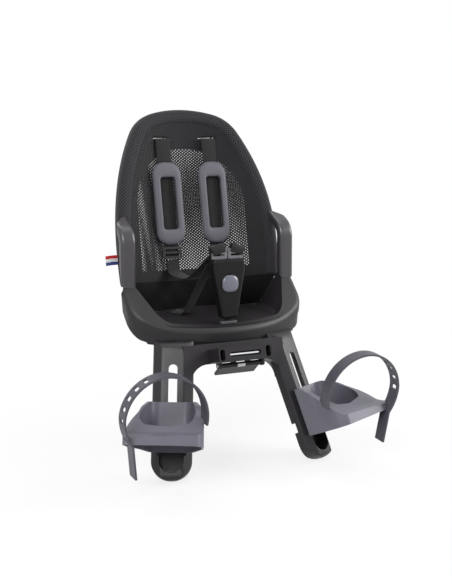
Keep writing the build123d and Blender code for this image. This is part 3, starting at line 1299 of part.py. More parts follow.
with BuildPart() as foot_strap_right:
    add(foot_strap_band(0))
    strap_wire = STRAP_PLANE.from_local_coords(strap_line.wire())
    for place in STRAP_HOLES:
        along = strap_wire % place
        through = along.cross(Vector(0, 1, 0))
        with BuildSketch(Plane(origin=strap_wire @ place, x_dir=along, z_dir=through)):
            RectangleRounded(STRAP_HOLE_HEIGHT, STRAP_HOLE_WIDTH, STRAP_HOLE_HEIGHT / 5)
        extrude(amount=2 * FOOT_STRAP_THICK, both=True, mode=Mode.SUBTRACT)
foot_strap_right.part.label = "foot_strap_right"
export_step(foot_strap_right.part, "parts/foot_strap_right.step")

# Left-hand foot pieces
with BuildPart() as footrest_left:
    mirror(footrest_right.part, about=Plane.YZ)
footrest_left.part.label = "footrest_left"
export_step(footrest_left.part, "parts/footrest_left.step")
with BuildPart() as clamp_plate_left:
    mirror(clamp_plate_right.part, about=Plane.YZ)
clamp_plate_left.part.label = "clamp_plate_left"
export_step(clamp_plate_left.part, "parts/clamp_plate_left.step")
with BuildPart() as clamp_screw_left:
    mirror(clamp_screw_right.part, about=Plane.YZ)
clamp_screw_left.part.label = "clamp_screw_left"
export_step(clamp_screw_left.part, "parts/clamp_screw_left.step")
with BuildPart() as foot_strap_left:
    mirror(foot_strap_right.part, about=Plane.YZ)
foot_strap_left.part.label = "foot_strap_left"
export_step(foot_strap_left.part, "parts/foot_strap_left.step")

# Moulded lower shell: rim shelf, skirt, tub, rear wall, apron and two legs
with BuildPart() as tub:
    # Shelf that carries the liner's rim, its skirt, and the tub walls under it
    add(rim_prism(RIM_OVERHANG))
    add(below_rim, mode=Mode.INTERSECT)
    add(under_rim(rim_drop + SHELL_WALL, nose_drop + SHELL_WALL), mode=Mode.SUBTRACT)
    add(skirt.part)
    add(tub_walls.part)
    add(tub_hollow, mode=Mode.SUBTRACT)
    # Curved rear wall that the back is bolted to
    add(rear_wall.part)
    add(bowl(PANEL_SETBACK - GAP, BACK_BOWL_RADIUS / 2, -LOWER_PANEL_TOP, BACK_HEIGHT), mode=Mode.SUBTRACT)
    add(bowl(-REAR_WALL, BACK_BOWL_RADIUS / 2, REAR_WALL_TOP, BACK_HEIGHT), mode=Mode.SUBTRACT)
with BuildPart() as lower_shell:
    add(apron.part)
    add(leg_and_flare.part)
    mirror(leg_and_flare.part, about=Plane.YZ)
    add(tub.part)
    # Holes for the screws
    add(bolt_holes.part, mode=Mode.SUBTRACT)
    add(arm_screw_room.part, mode=Mode.SUBTRACT)
    mirror(arm_screw_room.part, about=Plane.YZ, mode=Mode.SUBTRACT)
    with BuildSketch(MOUNT.offset(-BLOCK_DEPTH)):
        with Locations(*MOUNT_SCREW_PLACES):
            Circle(SCREW_RADIUS + PIN_GAP)
    extrude(amount=-2 * SHELL_WALL, mode=Mode.SUBTRACT)
lower_shell.part.label = "lower_shell"
export_step(lower_shell.part, "parts/lower_shell.step")

# Soft liner of the pan, with slots for the harness and holes for the armrests' screws
hip_slot_plane = Plane(origin=(*HIP_END, FLOOR_Z), x_dir=HIP_SIDE.x_dir, z_dir=(0, 0, 1))
with BuildPart() as hip_slot:
    with BuildSketch(hip_slot_plane):
        Rectangle(WEBBING_THICK + 2 * HIP_RADII[-1], WEBBING + 4 * GAP)
    extrude(amount=LINER_WALL, both=True)
with BuildPart() as seat_liner:
    add(liner_form.part)
    add(hip_slot.part, mode=Mode.SUBTRACT)
    mirror(hip_slot.part, about=Plane.YZ, mode=Mode.SUBTRACT)
    add(arm_screw_room.part, mode=Mode.SUBTRACT)
    mirror(arm_screw_room.part, about=Plane.YZ, mode=Mode.SUBTRACT)
    with BuildSketch(Plane.XY.offset(FLOOR_Z)):
        with Locations(CLIP_PLACE):
            Rectangle(CROTCH_WIDTH + 4 * GAP, WEBBING_THICK + 12 * GAP)
    extrude(amount=LINER_WALL, both=True, mode=Mode.SUBTRACT)
seat_liner.part.label = "seat_liner"
export_step(seat_liner.part, "parts/seat_liner.step")
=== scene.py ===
# %% [markdown]
# # A front child seat for a bicycle
# The seat hangs behind the handlebar stem: a moulded tub on two slotted legs, a net back in a padded rim,
# a harness with one buckle, and two foot cups that slide in the legs. The hard pieces come from the packed
# CAD frame and keep their shapes. This lesson dresses them and makes the soft pieces: nets, padding,
# webbing and pads. Everything is in metres, in the CAD's own frame.

# %% Load the frame
import bmesh
import bpy
import json
import math
from functools import partial
from mathutils import Matrix, Vector


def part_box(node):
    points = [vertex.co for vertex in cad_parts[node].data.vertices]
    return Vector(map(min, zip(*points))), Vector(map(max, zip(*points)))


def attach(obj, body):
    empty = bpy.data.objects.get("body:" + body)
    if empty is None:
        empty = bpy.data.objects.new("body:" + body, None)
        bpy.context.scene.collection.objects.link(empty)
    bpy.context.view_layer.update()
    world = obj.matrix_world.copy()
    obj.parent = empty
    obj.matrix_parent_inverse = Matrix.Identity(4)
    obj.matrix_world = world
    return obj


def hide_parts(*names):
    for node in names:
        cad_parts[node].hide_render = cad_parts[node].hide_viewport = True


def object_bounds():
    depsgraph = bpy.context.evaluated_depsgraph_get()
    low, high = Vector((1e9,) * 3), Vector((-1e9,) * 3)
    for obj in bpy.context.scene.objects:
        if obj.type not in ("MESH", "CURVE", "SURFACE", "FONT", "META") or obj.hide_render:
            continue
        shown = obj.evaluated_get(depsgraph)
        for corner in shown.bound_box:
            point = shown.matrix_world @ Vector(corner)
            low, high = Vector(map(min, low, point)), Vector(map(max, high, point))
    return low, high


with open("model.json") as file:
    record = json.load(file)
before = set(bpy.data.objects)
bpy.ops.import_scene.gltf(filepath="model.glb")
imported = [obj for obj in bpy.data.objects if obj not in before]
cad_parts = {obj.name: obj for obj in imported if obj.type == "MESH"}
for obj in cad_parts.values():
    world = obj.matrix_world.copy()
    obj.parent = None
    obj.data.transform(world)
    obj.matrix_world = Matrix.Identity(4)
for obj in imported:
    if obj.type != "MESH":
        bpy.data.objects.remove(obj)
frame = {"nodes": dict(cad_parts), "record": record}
nodes = frame["nodes"]
cad_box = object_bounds()

# %% [markdown]
# ## Camera
# The photograph was taken from the seat's front left, a little above the pan. A camera is placed by its
# three axes: right, up, and back towards the viewer. The long side of the picture is 584 pixels, and a focal
# length of 1100 such pixels is a lens of about 68 mm on a 36 mm sensor.

# %% Place the camera
CAMERA_PLACE = Vector((-0.7469, -1.3633, 0.4845))
CAMERA_RIGHT = Vector((0.8921, -0.4492, 0.0504))
CAMERA_UP = Vector((0.0669, 0.2414, 0.9682))
CAMERA_FORWARD = Vector((0.4470, 0.8603, -0.2454))
FOCAL_PIXELS = 1100.0
PICTURE_HEIGHT = 584.0
SENSOR = 36.0

scene = bpy.context.scene


def add_object(name, data):
    """A new object of the scene."""
    thing = bpy.data.objects.new(name, data)
    scene.collection.objects.link(thing)
    return thing


camera_data = bpy.data.cameras.new("seat_camera")
camera_data.sensor_fit = "VERTICAL"
camera_data.sensor_height = SENSOR
camera_data.lens = SENSOR * FOCAL_PIXELS / PICTURE_HEIGHT
camera = add_object("seat_camera", camera_data)
axes = Matrix((CAMERA_RIGHT, CAMERA_UP, -CAMERA_FORWARD)).transposed()
camera.matrix_world = Matrix.Translation(CAMERA_PLACE) @ axes.to_4x4()
bpy.context.scene.camera = camera
print("camera lens:", round(camera_data.lens, 1), "mm")

# %% [markdown]
# ## Studio
# A product picture has soft light from large panels and a plain pale ground. Four area lamps and an even
# world light the seat. The world shows as white to the camera and in reflections, so the background needs no
# extra light. Small helpers add nodes and feed their inputs, here and in every material below.

# %% White world
AMBIENT_COLOUR = (0.93, 0.95, 1.0, 1.0)
AMBIENT_STRENGTH = 0.15
WHITE = (1.0, 1.0, 1.0, 1.0)


def feed(tree, node, values):
    """Sets inputs of a node: each value is a number, a colour or a socket to link."""
    for entry, value in values.items():
        if isinstance(value, bpy.types.NodeSocket):
            tree.links.new(value, node.inputs[entry])
        else:
            node.inputs[entry].default_value = value


def add_node(tree, kind, values=None, family="ShaderNode", **settings):
    """A new node with its inputs and settings."""
    node = tree.nodes.new(family + kind)
    for name, setting in settings.items():
        setattr(node, name, setting)
    feed(tree, node, values or {})
    return node


def math_node(tree, operation, *values):
    """Output of a Math node with sockets or numbers as its inputs."""
    return add_node(tree, "Math", dict(enumerate(values)), operation=operation).outputs[0]


def backdrop_rays(tree):
    """Socket that is 1 for the rays that show the white backdrop: to the camera, in gloss, through glass."""
    ray = add_node(tree, "LightPath").outputs
    shown = ray["Is Camera Ray"]
    for kind in ("Is Glossy Ray", "Is Transmission Ray"):
        shown = math_node(tree, "MAXIMUM", shown, ray[kind])
    return shown


scene.view_settings.view_transform = "Standard"
world = bpy.data.worlds.new("studio")
scene.world = world
world.use_nodes = True
sky = world.node_tree
ambient = sky.nodes["Background"]
feed(sky, ambient, {"Color": AMBIENT_COLOUR, "Strength": AMBIENT_STRENGTH})
backdrop = add_node(sky, "Background", {"Color": WHITE, "Strength": 1.0})
blend = add_node(sky, "MixShader", {"Fac": backdrop_rays(sky), 1: ambient.outputs[0], 2: backdrop.outputs[0]})
feed(sky, sky.nodes["World Output"], {"Surface": blend.outputs[0]})
print("world light:", AMBIENT_STRENGTH)

# %% Hang the lamps
LAMP_AIM = Vector((0.0, 0.08, 0.06))
# Name, place, side of the square panel, power in watts
LAMPS = [
    ("key_panel", (-1.6, -1.3, 1.5), 1.1, 46.0),
    ("side_panel", (1.7, -0.5, 0.9), 1.0, 36.0),
    ("top_panel", (0.1, 0.2, 1.9), 1.2, 7.0),
    ("rear_panel", (-0.7, 1.4, 2.0), 1.2, 16.0),
]
for lamp_name, place, size, power in LAMPS:
    lamp_data = bpy.data.lights.new(lamp_name, "AREA")
    lamp_data.shape = "SQUARE"
    lamp_data.size = size
    lamp_data.energy = power
    lamp = add_object(lamp_name, lamp_data)
    lamp.location = place
    lamp.rotation_euler = (LAMP_AIM - Vector(place)).to_track_quat("-Z", "Y").to_euler()
print("lamps:", len(LAMPS))

# %% [markdown]
# ## Floor
# The ground is one large pale square. Near the feet it keeps a soft shadow, and with distance it fades to the
# backdrop's white, so no horizon shows. The fade is measured from the CAD's origin at the mount.

# %% Pale floor
SHADER = "Principled BSDF"
FLOOR_HALF = 4.0
FLOOR_GAP = 0.002
FLOOR_LOOK = {"Base Color": (0.86, 0.86, 0.87, 1.0), "Roughness": 0.9, "Specular IOR Level": 0.1}
FLOOR_FADE = {"From Min": 0.20, "From Max": 0.55, "To Min": 0.80, "To Max": 1.0}


def new_material(name, values):
    """A material and its node tree, with the given values on the shader's own sockets."""
    material = bpy.data.materials.new(name)
    material.use_nodes = True
    feed(material.node_tree, material.node_tree.nodes[SHADER], values)
    return material, material.node_tree


def fading_paint(name):
    """A pale paint that fades to the backdrop's white with distance from the origin."""
    material, tree = new_material(name, FLOOR_LOOK)
    spot = add_node(tree, "TexCoord").outputs["Object"]
    reach = add_node(tree, "VectorMath", {0: spot}, operation="LENGTH").outputs["Value"]
    fade = add_node(tree, "MapRange", {"Value": reach, **FLOOR_FADE}, interpolation_type="SMOOTHSTEP")
    share = math_node(tree, "MULTIPLY", backdrop_rays(tree), fade.outputs["Result"])
    glow = add_node(tree, "Emission", {"Strength": 1.0})
    mix = add_node(tree, "MixShader", {"Fac": share, 1: tree.nodes[SHADER].outputs[0], 2: glow.outputs[0]})
    feed(tree, tree.nodes["Material Output"], {"Surface": mix.outputs[0]})
    return material


floor_z = cad_box[0][2] - FLOOR_GAP
floor_mesh = bpy.data.meshes.new("studio_floor")
floor_turns = ((-1, -1), (1, -1), (1, 1), (-1, 1))
floor_corners = [(FLOOR_HALF * x, FLOOR_HALF * y, floor_z) for x, y in floor_turns]
floor_mesh.from_pydata(floor_corners, [], [(0, 1, 2, 3)])
floor = add_object("studio_floor", floor_mesh)
floor_mesh.materials.append(fading_paint("floor_paint"))
print("floor at", round(floor_z, 4))

# %% [markdown]
# ## Finishes
# Moulded plastic is never one flat colour: the mould leaves a fine grain, the pigment drifts a little, and
# the gloss changes with it. One helper builds such a plastic from two noises on Object coordinates. The
# numbers that are the same all over stay on the shader's own sockets. Metal gets fine streaks instead.

# %% Moulded plastic
CLOUD = {"Scale": 18.0, "Detail": 4.0}
CLOUD_STOPS = (0.35, 0.68)
COAT_ROUGHNESS = 0.25
GLOSS_SPREAD = 0.06
GRAIN_DETAIL = 2.0
GRAIN_STRENGTH = 0.35


def tinted(tree, value, stops):
    """Colours the shader by a value through a ramp of two stops."""
    ramp = add_node(tree, "ValToRGB", {"Fac": value})
    for stop, (position, colour) in zip(ramp.color_ramp.elements, stops):
        stop.position = position
        stop.color = (*colour, 1.0)
    feed(tree, tree.nodes[SHADER], {"Base Color": ramp.outputs["Color"]})
    return ramp


def glossed(tree, value, low, high):
    """Spreads the shader's roughness between two numbers by a value."""
    gloss = add_node(tree, "MapRange", {"Value": value, "To Min": low, "To Max": high})
    feed(tree, tree.nodes[SHADER], {"Roughness": gloss.outputs["Result"]})


def raised(tree, value, strength, depth):
    """Bumps the shader by a value."""
    bump = add_node(tree, "Bump", {"Height": value, "Strength": strength, "Distance": depth})
    feed(tree, tree.nodes[SHADER], {"Normal": bump.outputs["Normal"]})
    return bump


def moulded(name, colour, drift, roughness, grain, grain_height, coat=0.0, shine=0.5):
    """A moulded plastic: base colour with a slow drift, a fine grain and uneven gloss."""
    look = {"Specular IOR Level": shine, "Coat Weight": coat, "Coat Roughness": COAT_ROUGHNESS}
    material, tree = new_material(name, look)
    place = add_node(tree, "TexCoord").outputs["Object"]
    cloud = add_node(tree, "TexNoise", {"Vector": place, **CLOUD}).outputs["Fac"]
    fine = {"Vector": place, "Scale": grain, "Detail": GRAIN_DETAIL}
    speck = add_node(tree, "TexNoise", fine).outputs["Fac"]
    dark = [c * (1 - drift) for c in colour]
    pale = [min(1.0, c * (1 + drift)) for c in colour]
    tinted(tree, cloud, zip(CLOUD_STOPS, (dark, pale)))
    glossed(tree, speck, roughness - GLOSS_SPREAD, roughness + GLOSS_SPREAD)
    raised(tree, speck, GRAIN_STRENGTH, grain_height)
    return material


# Name, colour, drift, roughness, grain, height of the grain, and where they differ coat and shine
PLASTICS = {
    "shell_plastic": ("shell_charcoal", (0.016, 0.014, 0.016), 0.08, 0.40, 1400.0, 0.0003, 0.03, 0.32),
    "liner_foam": ("liner_skin", (0.009, 0.0075, 0.009), 0.08, 0.50, 900.0, 0.0004, 0.0, 0.42),
    "back_cover": ("back_frame_plastic", (0.006, 0.006, 0.007), 0.05, 0.6, 1400.0, 0.0003, 0.0, 0.25),
    "armrest_plastic": ("armrest_charcoal", (0.034, 0.031, 0.035), 0.07, 0.32, 1400.0, 0.0003, 0.2),
    "mount_plastic": ("mount_black", (0.014, 0.012, 0.014), 0.08, 0.42, 1100.0, 0.0003, 0.0, 0.30),
    "buckle_plastic": ("buckle_dark", (0.006, 0.006, 0.006), 0.06, 0.40, 1300.0, 0.0003, 0.0, 0.18),
    "button_plastic": ("button_blue_grey", (0.122, 0.126, 0.158), 0.05, 0.32, 1500.0, 0.0002, 0.2),
    "clip_grey": ("clip_dark_grey", (0.060, 0.060, 0.064), 0.05, 0.36, 1200.0, 0.0002, 0.2),
    "adjuster_plastic": ("adjuster_black", (0.008, 0.008, 0.009), 0.06, 0.36, 1300.0, 0.0002),
    "tongue_plastic": ("tongue_grey", (0.150, 0.147, 0.160), 0.05, 0.38, 1300.0, 0.0002),
    "foot_plastic": ("foot_blue_grey", (0.118, 0.116, 0.145), 0.06, 0.40, 1200.0, 0.0003, 0.05, 0.4),
    "strap_rubber": ("foot_strap_rubber", (0.062, 0.060, 0.076), 0.06, 0.48, 1000.0, 0.0003, 0.0, 0.4),
    "pad_foam": ("pad_skin", (0.098, 0.096, 0.114), 0.06, 0.56, 700.0, 0.0004, 0.0, 0.35),
}
FINISHES = {slot: moulded(*recipe) for slot, recipe in PLASTICS.items()}
print("plastics:", len(PLASTICS))

# %% Plated metal
STREAK_STRETCH = 0.04
STREAK_DETAIL = 3.0
STREAK_SHADE = 0.86
GLOSS_RANGE = (0.7, 1.4)


def metal(name, colour, roughness, streak):
    """A plated or drawn metal with fine streaks along X."""
    material, tree = new_material(name, {"Metallic": 1.0})
    place = add_node(tree, "TexCoord").outputs["Object"]
    scale = (streak * STREAK_STRETCH, streak, streak)
    stretch = add_node(tree, "Mapping", {"Vector": place, "Scale": scale}).outputs["Vector"]
    streaks = {"Vector": stretch, "Scale": 1.0, "Detail": STREAK_DETAIL}
    lines = add_node(tree, "TexNoise", streaks).outputs["Fac"]
    tinted(tree, lines, ((0.0, [c * STREAK_SHADE for c in colour]), (1.0, colour)))
    glossed(tree, lines, *[roughness * share for share in GLOSS_RANGE])
    return material


FINISHES["steel"] = metal("plated_steel", (0.62, 0.62, 0.63), 0.28, 900.0)
FINISHES["chrome_rod"] = metal("polished_rod", (0.88, 0.88, 0.90), 0.10, 900.0)
print("finishes:", len(FINISHES))

# %% [markdown]
# ## Dressing the CAD pieces
# A CAD node arrives as loose triangles, so its curved faces would look faceted. Weld joins the triangles
# when the object is evaluated, smooth shading rounds them, and Edge Split keeps every real corner sharp.
# The node's own mesh stays as it is.

# %% Dress the hard pieces
SMOOTH_ANGLE = math.radians(32)
WELD = 1e-6
slot_of = {part["node"]: part["material_slot"] for part in frame["record"]["subparts"]}
dressed = 0
for node_name, node in nodes.items():
    finish = FINISHES.get(slot_of[node_name])
    if finish is None:
        continue
    node.data.materials.clear()
    node.data.materials.append(finish)
    for face in node.data.polygons:
        face.use_smooth = True
        face.material_index = 0
    weld = node.modifiers.new("weld", "WELD")
    weld.merge_threshold = WELD
    split = node.modifiers.new("corners", "EDGE_SPLIT")
    split.split_angle = SMOOTH_ANGLE
    split.use_edge_sharp = False
    dressed += 1
print("dressed CAD pieces:", dressed)

# %% [markdown]
# ## Shape of the back
# The back is a bowl: part of a cylinder that leans back by 17 degrees. A point on it is given by its distance
# from the middle, its height up the recline, and how far it lies behind the front net. The outline in front
# view is a chain of arcs that meet smoothly, with the same corner points as the CAD.

# %% Back outline
RECLINE = math.radians(17.0)
BACK_FOOT = Vector((0.0, 0.162, 0.028))
ACROSS = Vector((1.0, 0.0, 0.0))
BACK_UP = Vector((0.0, math.sin(RECLINE), math.cos(RECLINE)))
BACK_OUT = Vector((0.0, -math.cos(RECLINE), math.sin(RECLINE)))
BOWL_RADIUS = 0.230
BOWL_AXIS = 0.220
ARC_STEPS = 28


def on_back(x, height, out):
    """Point in the back's own plane, out in front of the foot of the recline."""
    return BACK_FOOT + ACROSS * x + BACK_UP * height + BACK_OUT * out


def on_bowl(x, height, setback):
    """Point of the bowl at x from the middle and a height up the recline."""
    return on_back(x, height, BOWL_AXIS - math.sqrt((BOWL_RADIUS + setback) ** 2 - x ** 2))


def tangent_arc(start, run, end):
    """Points of the arc from start to end that leaves start along run, and the direction at its end."""
    chord = end - start
    turn = math.atan2(run.x * chord.y - run.y * chord.x, run.dot(chord))
    side = Vector((-run.y, run.x))
    radius = chord.length / (2 * math.sin(turn))
    centre = start + side * radius
    points = []
    for step in range(1, ARC_STEPS + 1):
        spin = Matrix.Rotation(2 * turn * step / ARC_STEPS, 2)
        points.append(centre + spin @ (start - centre))
    return points, Matrix.Rotation(2 * turn, 2) @ run


def smooth_join(start, start_run, end, end_run):
    """Point where two arcs meet smoothly between two points with given directions."""
    across = end - start
    both = start_run + end_run
    lead = across.dot(both)
    spare = 4 - both.dot(both)
    reach = (-lead + math.sqrt(lead ** 2 + spare * across.dot(across))) / spare
    return (start + start_run * reach + end - end_run * reach) / 2


BACK_WAIST = Vector((0.137, 0.100))
BACK_SIDE = Vector((0.124, 0.200))
BACK_SHOULDER = Vector((0.092, 0.280))
BACK_TOP = Vector((0.0, 0.3195))
BACK_LOW = Vector((0.130, 0.0))


def back_outline():
    """Right half of the back's front view, from its foot to the top."""
    low, _ = tangent_arc(BACK_WAIST, Vector((0, -1)), BACK_LOW)
    side, side_run = tangent_arc(BACK_WAIST, Vector((0, 1)), BACK_SIDE)
    shoulder, shoulder_run = tangent_arc(BACK_SIDE, side_run, BACK_SHOULDER)
    join = smooth_join(BACK_SHOULDER, shoulder_run, BACK_TOP, Vector((-1, 0)))
    corner, corner_run = tangent_arc(BACK_SHOULDER, shoulder_run, join)
    top, _ = tangent_arc(join, corner_run, BACK_TOP)
    return list(reversed(low)) + [BACK_WAIST] + side + shoulder + corner + top


def outward_normals(points):
    """Unit normals of an open outline that runs anticlockwise."""
    normals = []
    for index in range(len(points)):
        before = points[max(index - 1, 0)]
        after = points[min(index + 1, len(points) - 1)]
        run = (after - before).normalized()
        normals.append(Vector((run.y, -run.x)))
    return normals


half_outline = back_outline()
whole_outline = half_outline + [Vector((-p.x, p.y)) for p in reversed(half_outline[:-1])]
whole_normals = outward_normals(whole_outline)
print("outline points:", len(whole_outline))

# %% [markdown]
# ## Padded rim of the back
# The rim is foam wrapped in black air mesh. Its section has a broad round front edge and a smaller rear edge,
# and the angle between its faces changes along the outline because the bowl curves forward at the sides.
# So each section is built from its four real corners, each rounded by its own radius, and the sections are
# joined into one skin. The skin's UV map is in metres, along the rim and around its section.

# %% Rim sections
RIM_BOTTOM = 0.040
RIM_BAND = 0.020
RIM_DEEP = 0.022
RIM_PROUD = 0.0008
RIM_CROWN = 0.0012
CROWN_SHARES = (0.25, 0.5, 0.75)
RIM_INNER = RIM_BAND + RIM_PROUD
RIM_REAR = RIM_DEEP + RIM_PROUD
# Inset from the outline and distance behind the front net
RIM_CORNERS = (
    (RIM_INNER, -RIM_PROUD), (-RIM_PROUD, -RIM_PROUD), (-RIM_PROUD, RIM_REAR), (RIM_INNER, RIM_REAR),
)
RIM_ROLLS = (0.0025, 0.0088, 0.0055, 0.0025)
ROLL_STEPS = (3, 9, 6, 3)


def rounded_corner(before, corner, after, radius, steps):
    """Arc that rounds a corner between two straight sides."""
    first = (before - corner).normalized()
    second = (after - corner).normalized()
    half = first.angle(second) / 2
    centre = corner + (first + second).normalized() * radius / math.sin(half)
    start = corner + first * radius / math.tan(half) - centre
    end = corner + second * radius / math.tan(half) - centre
    sweep = start.angle(end)
    points = []
    for step in range(steps):
        share = step / (steps - 1)
        mix = start * math.sin((1 - share) * sweep) + end * math.sin(share * sweep)
        points.append(centre + mix / math.sin(sweep))
    return points


def rim_section(point, normal):
    """One closed section of the rim, from its inner front edge round the outside to the inner rear edge."""
    corners = []
    for inset, setback in RIM_CORNERS:
        place = point - normal * inset
        corners.append(on_bowl(place.x, place.y, setback))
    loop = []
    for index, corner in enumerate(corners):
        before = corners[index - 1]
        after = corners[(index + 1) % len(corners)]
        loop.append(rounded_corner(before, corner, after, RIM_ROLLS[index], ROLL_STEPS[index]))
    inner_end, outer_start = loop[0][-1], loop[1][0]
    crown = []
    for share in CROWN_SHARES:
        swell = BACK_OUT * RIM_CROWN * math.sin(math.pi * share)
        crown.append(inner_end.lerp(outer_start, share) + swell)
    return loop[0] + crown + loop[1] + loop[2] + loop[3]


rim_sections = [
    rim_section(point, normal)
    for point, normal in zip(whole_outline, whole_normals)
    if point.y >= RIM_BOTTOM
]
print("rim sections:", len(rim_sections))

# %% Rim skin
def new_piece(name, build, finish=None):
    """Turns a bmesh into an object of the scene, at the origin."""
    mesh = bpy.data.meshes.new(name)
    build.to_mesh(mesh)
    build.free()
    if finish:
        mesh.materials.append(finish)
    return add_object(name, mesh)


def skin_from_sections(name, sections, finish=None, closed_ends=True):
    """Joins closed sections into a skin with a UV map in metres; without ends, the last meets the first."""
    build = bmesh.new()
    around = len(sections[0])
    rings = [[build.verts.new(point) for point in section] for section in sections]
    uv = build.loops.layers.uv.new("UVMap")
    along = 0.0
    middle = [sum(section, Vector()) / around for section in sections]
    for index in range(len(sections) - 1):
        ring, next_ring = rings[index], rings[index + 1]
        ahead = along + (middle[index + 1] - middle[index]).length
        girth = 0.0
        for place in range(around):
            after = (place + 1) % around
            wider = girth + (sections[index][after] - sections[index][place]).length
            face = build.faces.new((ring[place], ring[after], next_ring[after], next_ring[place]))
            face.smooth = True
            corners = ((along, girth), (along, wider), (ahead, wider), (ahead, girth))
            for loop, corner in zip(face.loops, corners):
                loop[uv].uv = corner
            girth = wider
        along = ahead
    if closed_ends:
        build.faces.new(rings[0])
        build.faces.new(list(reversed(rings[-1])))
    else:
        bmesh.ops.remove_doubles(build, verts=build.verts, dist=WELD)
    bmesh.ops.recalc_face_normals(build, faces=build.faces)
    return new_piece(name, build, finish)


rim_cover = skin_from_sections("back_rim_cover", rim_sections)
print("rim faces:", len(rim_cover.data.polygons))

# %% [markdown]
# ## Air mesh
# The fabric on the rim is a knitted mesh: rows of small round holes, every other row shifted by half a step.
# A Voronoi texture with no randomness is a square grid of cells, and turned by 45 degrees it is exactly that
# staggered pattern. Its distance output sinks the holes and raises the threads between them, and it darkens
# the holes with painted shade.

# %% Air mesh material
SHEEN_ROUGHNESS = 0.4
HOLE_SHADE_STOPS = (0.33, 0.45)
KNIT_STRENGTH = 0.6
RIM_PITCH = 0.0038
RIM_KNIT_DEPTH = 0.0010
RIM_LOOK = {
    "Roughness": 0.78, "Specular IOR Level": 0.25, "Sheen Weight": 0.10, "Sheen Roughness": SHEEN_ROUGHNESS,
}


def air_mesh(name, thread, hole, pitch, depth):
    """A knitted mesh of staggered holes on the piece's own UV map, with painted shade in the holes."""
    material, tree = new_material(name, RIM_LOOK)
    place = add_node(tree, "TexCoord").outputs["UV"]
    diagonal = {"Vector": place, "Rotation": (0, 0, math.radians(45))}
    turn = add_node(tree, "Mapping", diagonal).outputs["Vector"]
    grid = {"Vector": turn, "Scale": 1 / pitch, "Randomness": 0.0}
    cells = add_node(tree, "TexVoronoi", grid, voronoi_dimensions="2D").outputs["Distance"]
    # The hole colour is painted shade: the holes turn dark where they sink.
    tinted(tree, cells, zip(HOLE_SHADE_STOPS, (hole, thread)))
    raised(tree, cells, KNIT_STRENGTH, depth)
    return material


# Thread colour, and the painted shade of the holes
rim_thread, rim_hole_shade = (0.036, 0.033, 0.039), (0.0015, 0.0015, 0.0015)
rim_fabric = air_mesh("rim_air_mesh", rim_thread, rim_hole_shade, RIM_PITCH, RIM_KNIT_DEPTH)
rim_cover.data.materials.append(rim_fabric)
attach(rim_cover, "seat")
print("rim fabric:", rim_fabric.name)

# %% [markdown]
# ## Nets of the back
# Two open nets of the same knit close the window of the back, one in front and one 20 mm behind, and light
# shines where their holes line up: that gives the pale upright bands of the photograph. The holes are real
# geometry. Geometry Nodes lay a staggered grid of points over the flat, unrolled outline, keep the points that
# a ray finds over it, put one small hexagonal cell with a hole on each, and bend the whole net to the bowl.

# %% Staggered points
NET_INPUTS = (
    ("Region", "Geometry"), ("Cell", "Object"), ("Pitch", "Float"), ("Row Step", "Float"), ("Columns", "Int"),
    ("Rows", "Int"), ("Middle Across", "Float"), ("Middle Height", "Float"), ("Bowl Radius", "Float"),
    ("Fold Height", "Float"), ("Thread", "Material"),
)
shape_node = partial(add_node, family="GeometryNode")


def position_parts(tree):
    """X, Y and Z of each point's position."""
    spot = shape_node(tree, "InputPosition").outputs[0]
    return add_node(tree, "SeparateXYZ", {0: spot}).outputs


def staggered_points(tree, given):
    """A grid of points round the net's middle, with every other row shifted by half a step."""
    calc = partial(math_node, tree)
    pitch, row_step = given["Pitch"], given["Row Step"]
    tall = calc("MULTIPLY", row_step, calc("SUBTRACT", given["Rows"], 1))
    grid = shape_node(tree, "MeshGrid", {
        "Size X": calc("MULTIPLY", pitch, calc("SUBTRACT", given["Columns"], 1)),
        "Size Y": tall,
        "Vertices X": given["Columns"],
        "Vertices Y": given["Rows"],
    }).outputs["Mesh"]
    from_bottom = calc("ADD", position_parts(tree)["Y"], calc("DIVIDE", tall, 2.0))
    odd = calc("MODULO", calc("ROUND", calc("DIVIDE", from_bottom, row_step)), 2.0)
    shift = calc("MULTIPLY", odd, calc("DIVIDE", pitch, 2.0))
    middle = {"X": calc("ADD", shift, given["Middle Across"]), "Y": given["Middle Height"]}
    offset = add_node(tree, "CombineXYZ", middle).outputs[0]
    stagger = shape_node(tree, "SetPosition", {"Geometry": grid, "Offset": offset})
    return shape_node(tree, "MeshToPoints", {"Mesh": stagger.outputs["Geometry"]}).outputs["Points"]


print("net inputs:", len(NET_INPUTS))

# %% Cells on the points
RAY_LIFT = 0.01
RAY_LENGTH = 0.1
JOIN_DISTANCE = 0.0001


def cells_over_outline(tree, given, points):
    """Keeps the points that a ray finds over the flat outline, and joins a cell on each to a sheet."""
    spot = shape_node(tree, "InputPosition").outputs[0]
    above = add_node(tree, "VectorMath", {0: spot, 1: (0, 0, RAY_LIFT)}, operation="ADD").outputs[0]
    ray_down = shape_node(tree, "Raycast", {
        "Target Geometry": given["Region"],
        "Source Position": above,
        "Ray Direction": (0, 0, -1),
        "Ray Length": RAY_LENGTH,
    }).outputs["Is Hit"]
    inside = {"Geometry": points, "Selection": ray_down}
    keep = shape_node(tree, "SeparateGeometry", inside).outputs["Selection"]
    cell = shape_node(tree, "ObjectInfo", {"Object": given["Cell"]}).outputs["Geometry"]
    place = shape_node(tree, "InstanceOnPoints", {"Points": keep, "Instance": cell}).outputs["Instances"]
    real = shape_node(tree, "RealizeInstances", {"Geometry": place}).outputs["Geometry"]
    joined = shape_node(tree, "MergeByDistance", {"Geometry": real, "Distance": JOIN_DISTANCE})
    return joined.outputs["Geometry"]


print("ray length over the outline:", RAY_LENGTH)

# %% Bend to the bowl
FOLD_RATE = 2 * math.pi / 0.021
FOLD_LEAN = 0.12


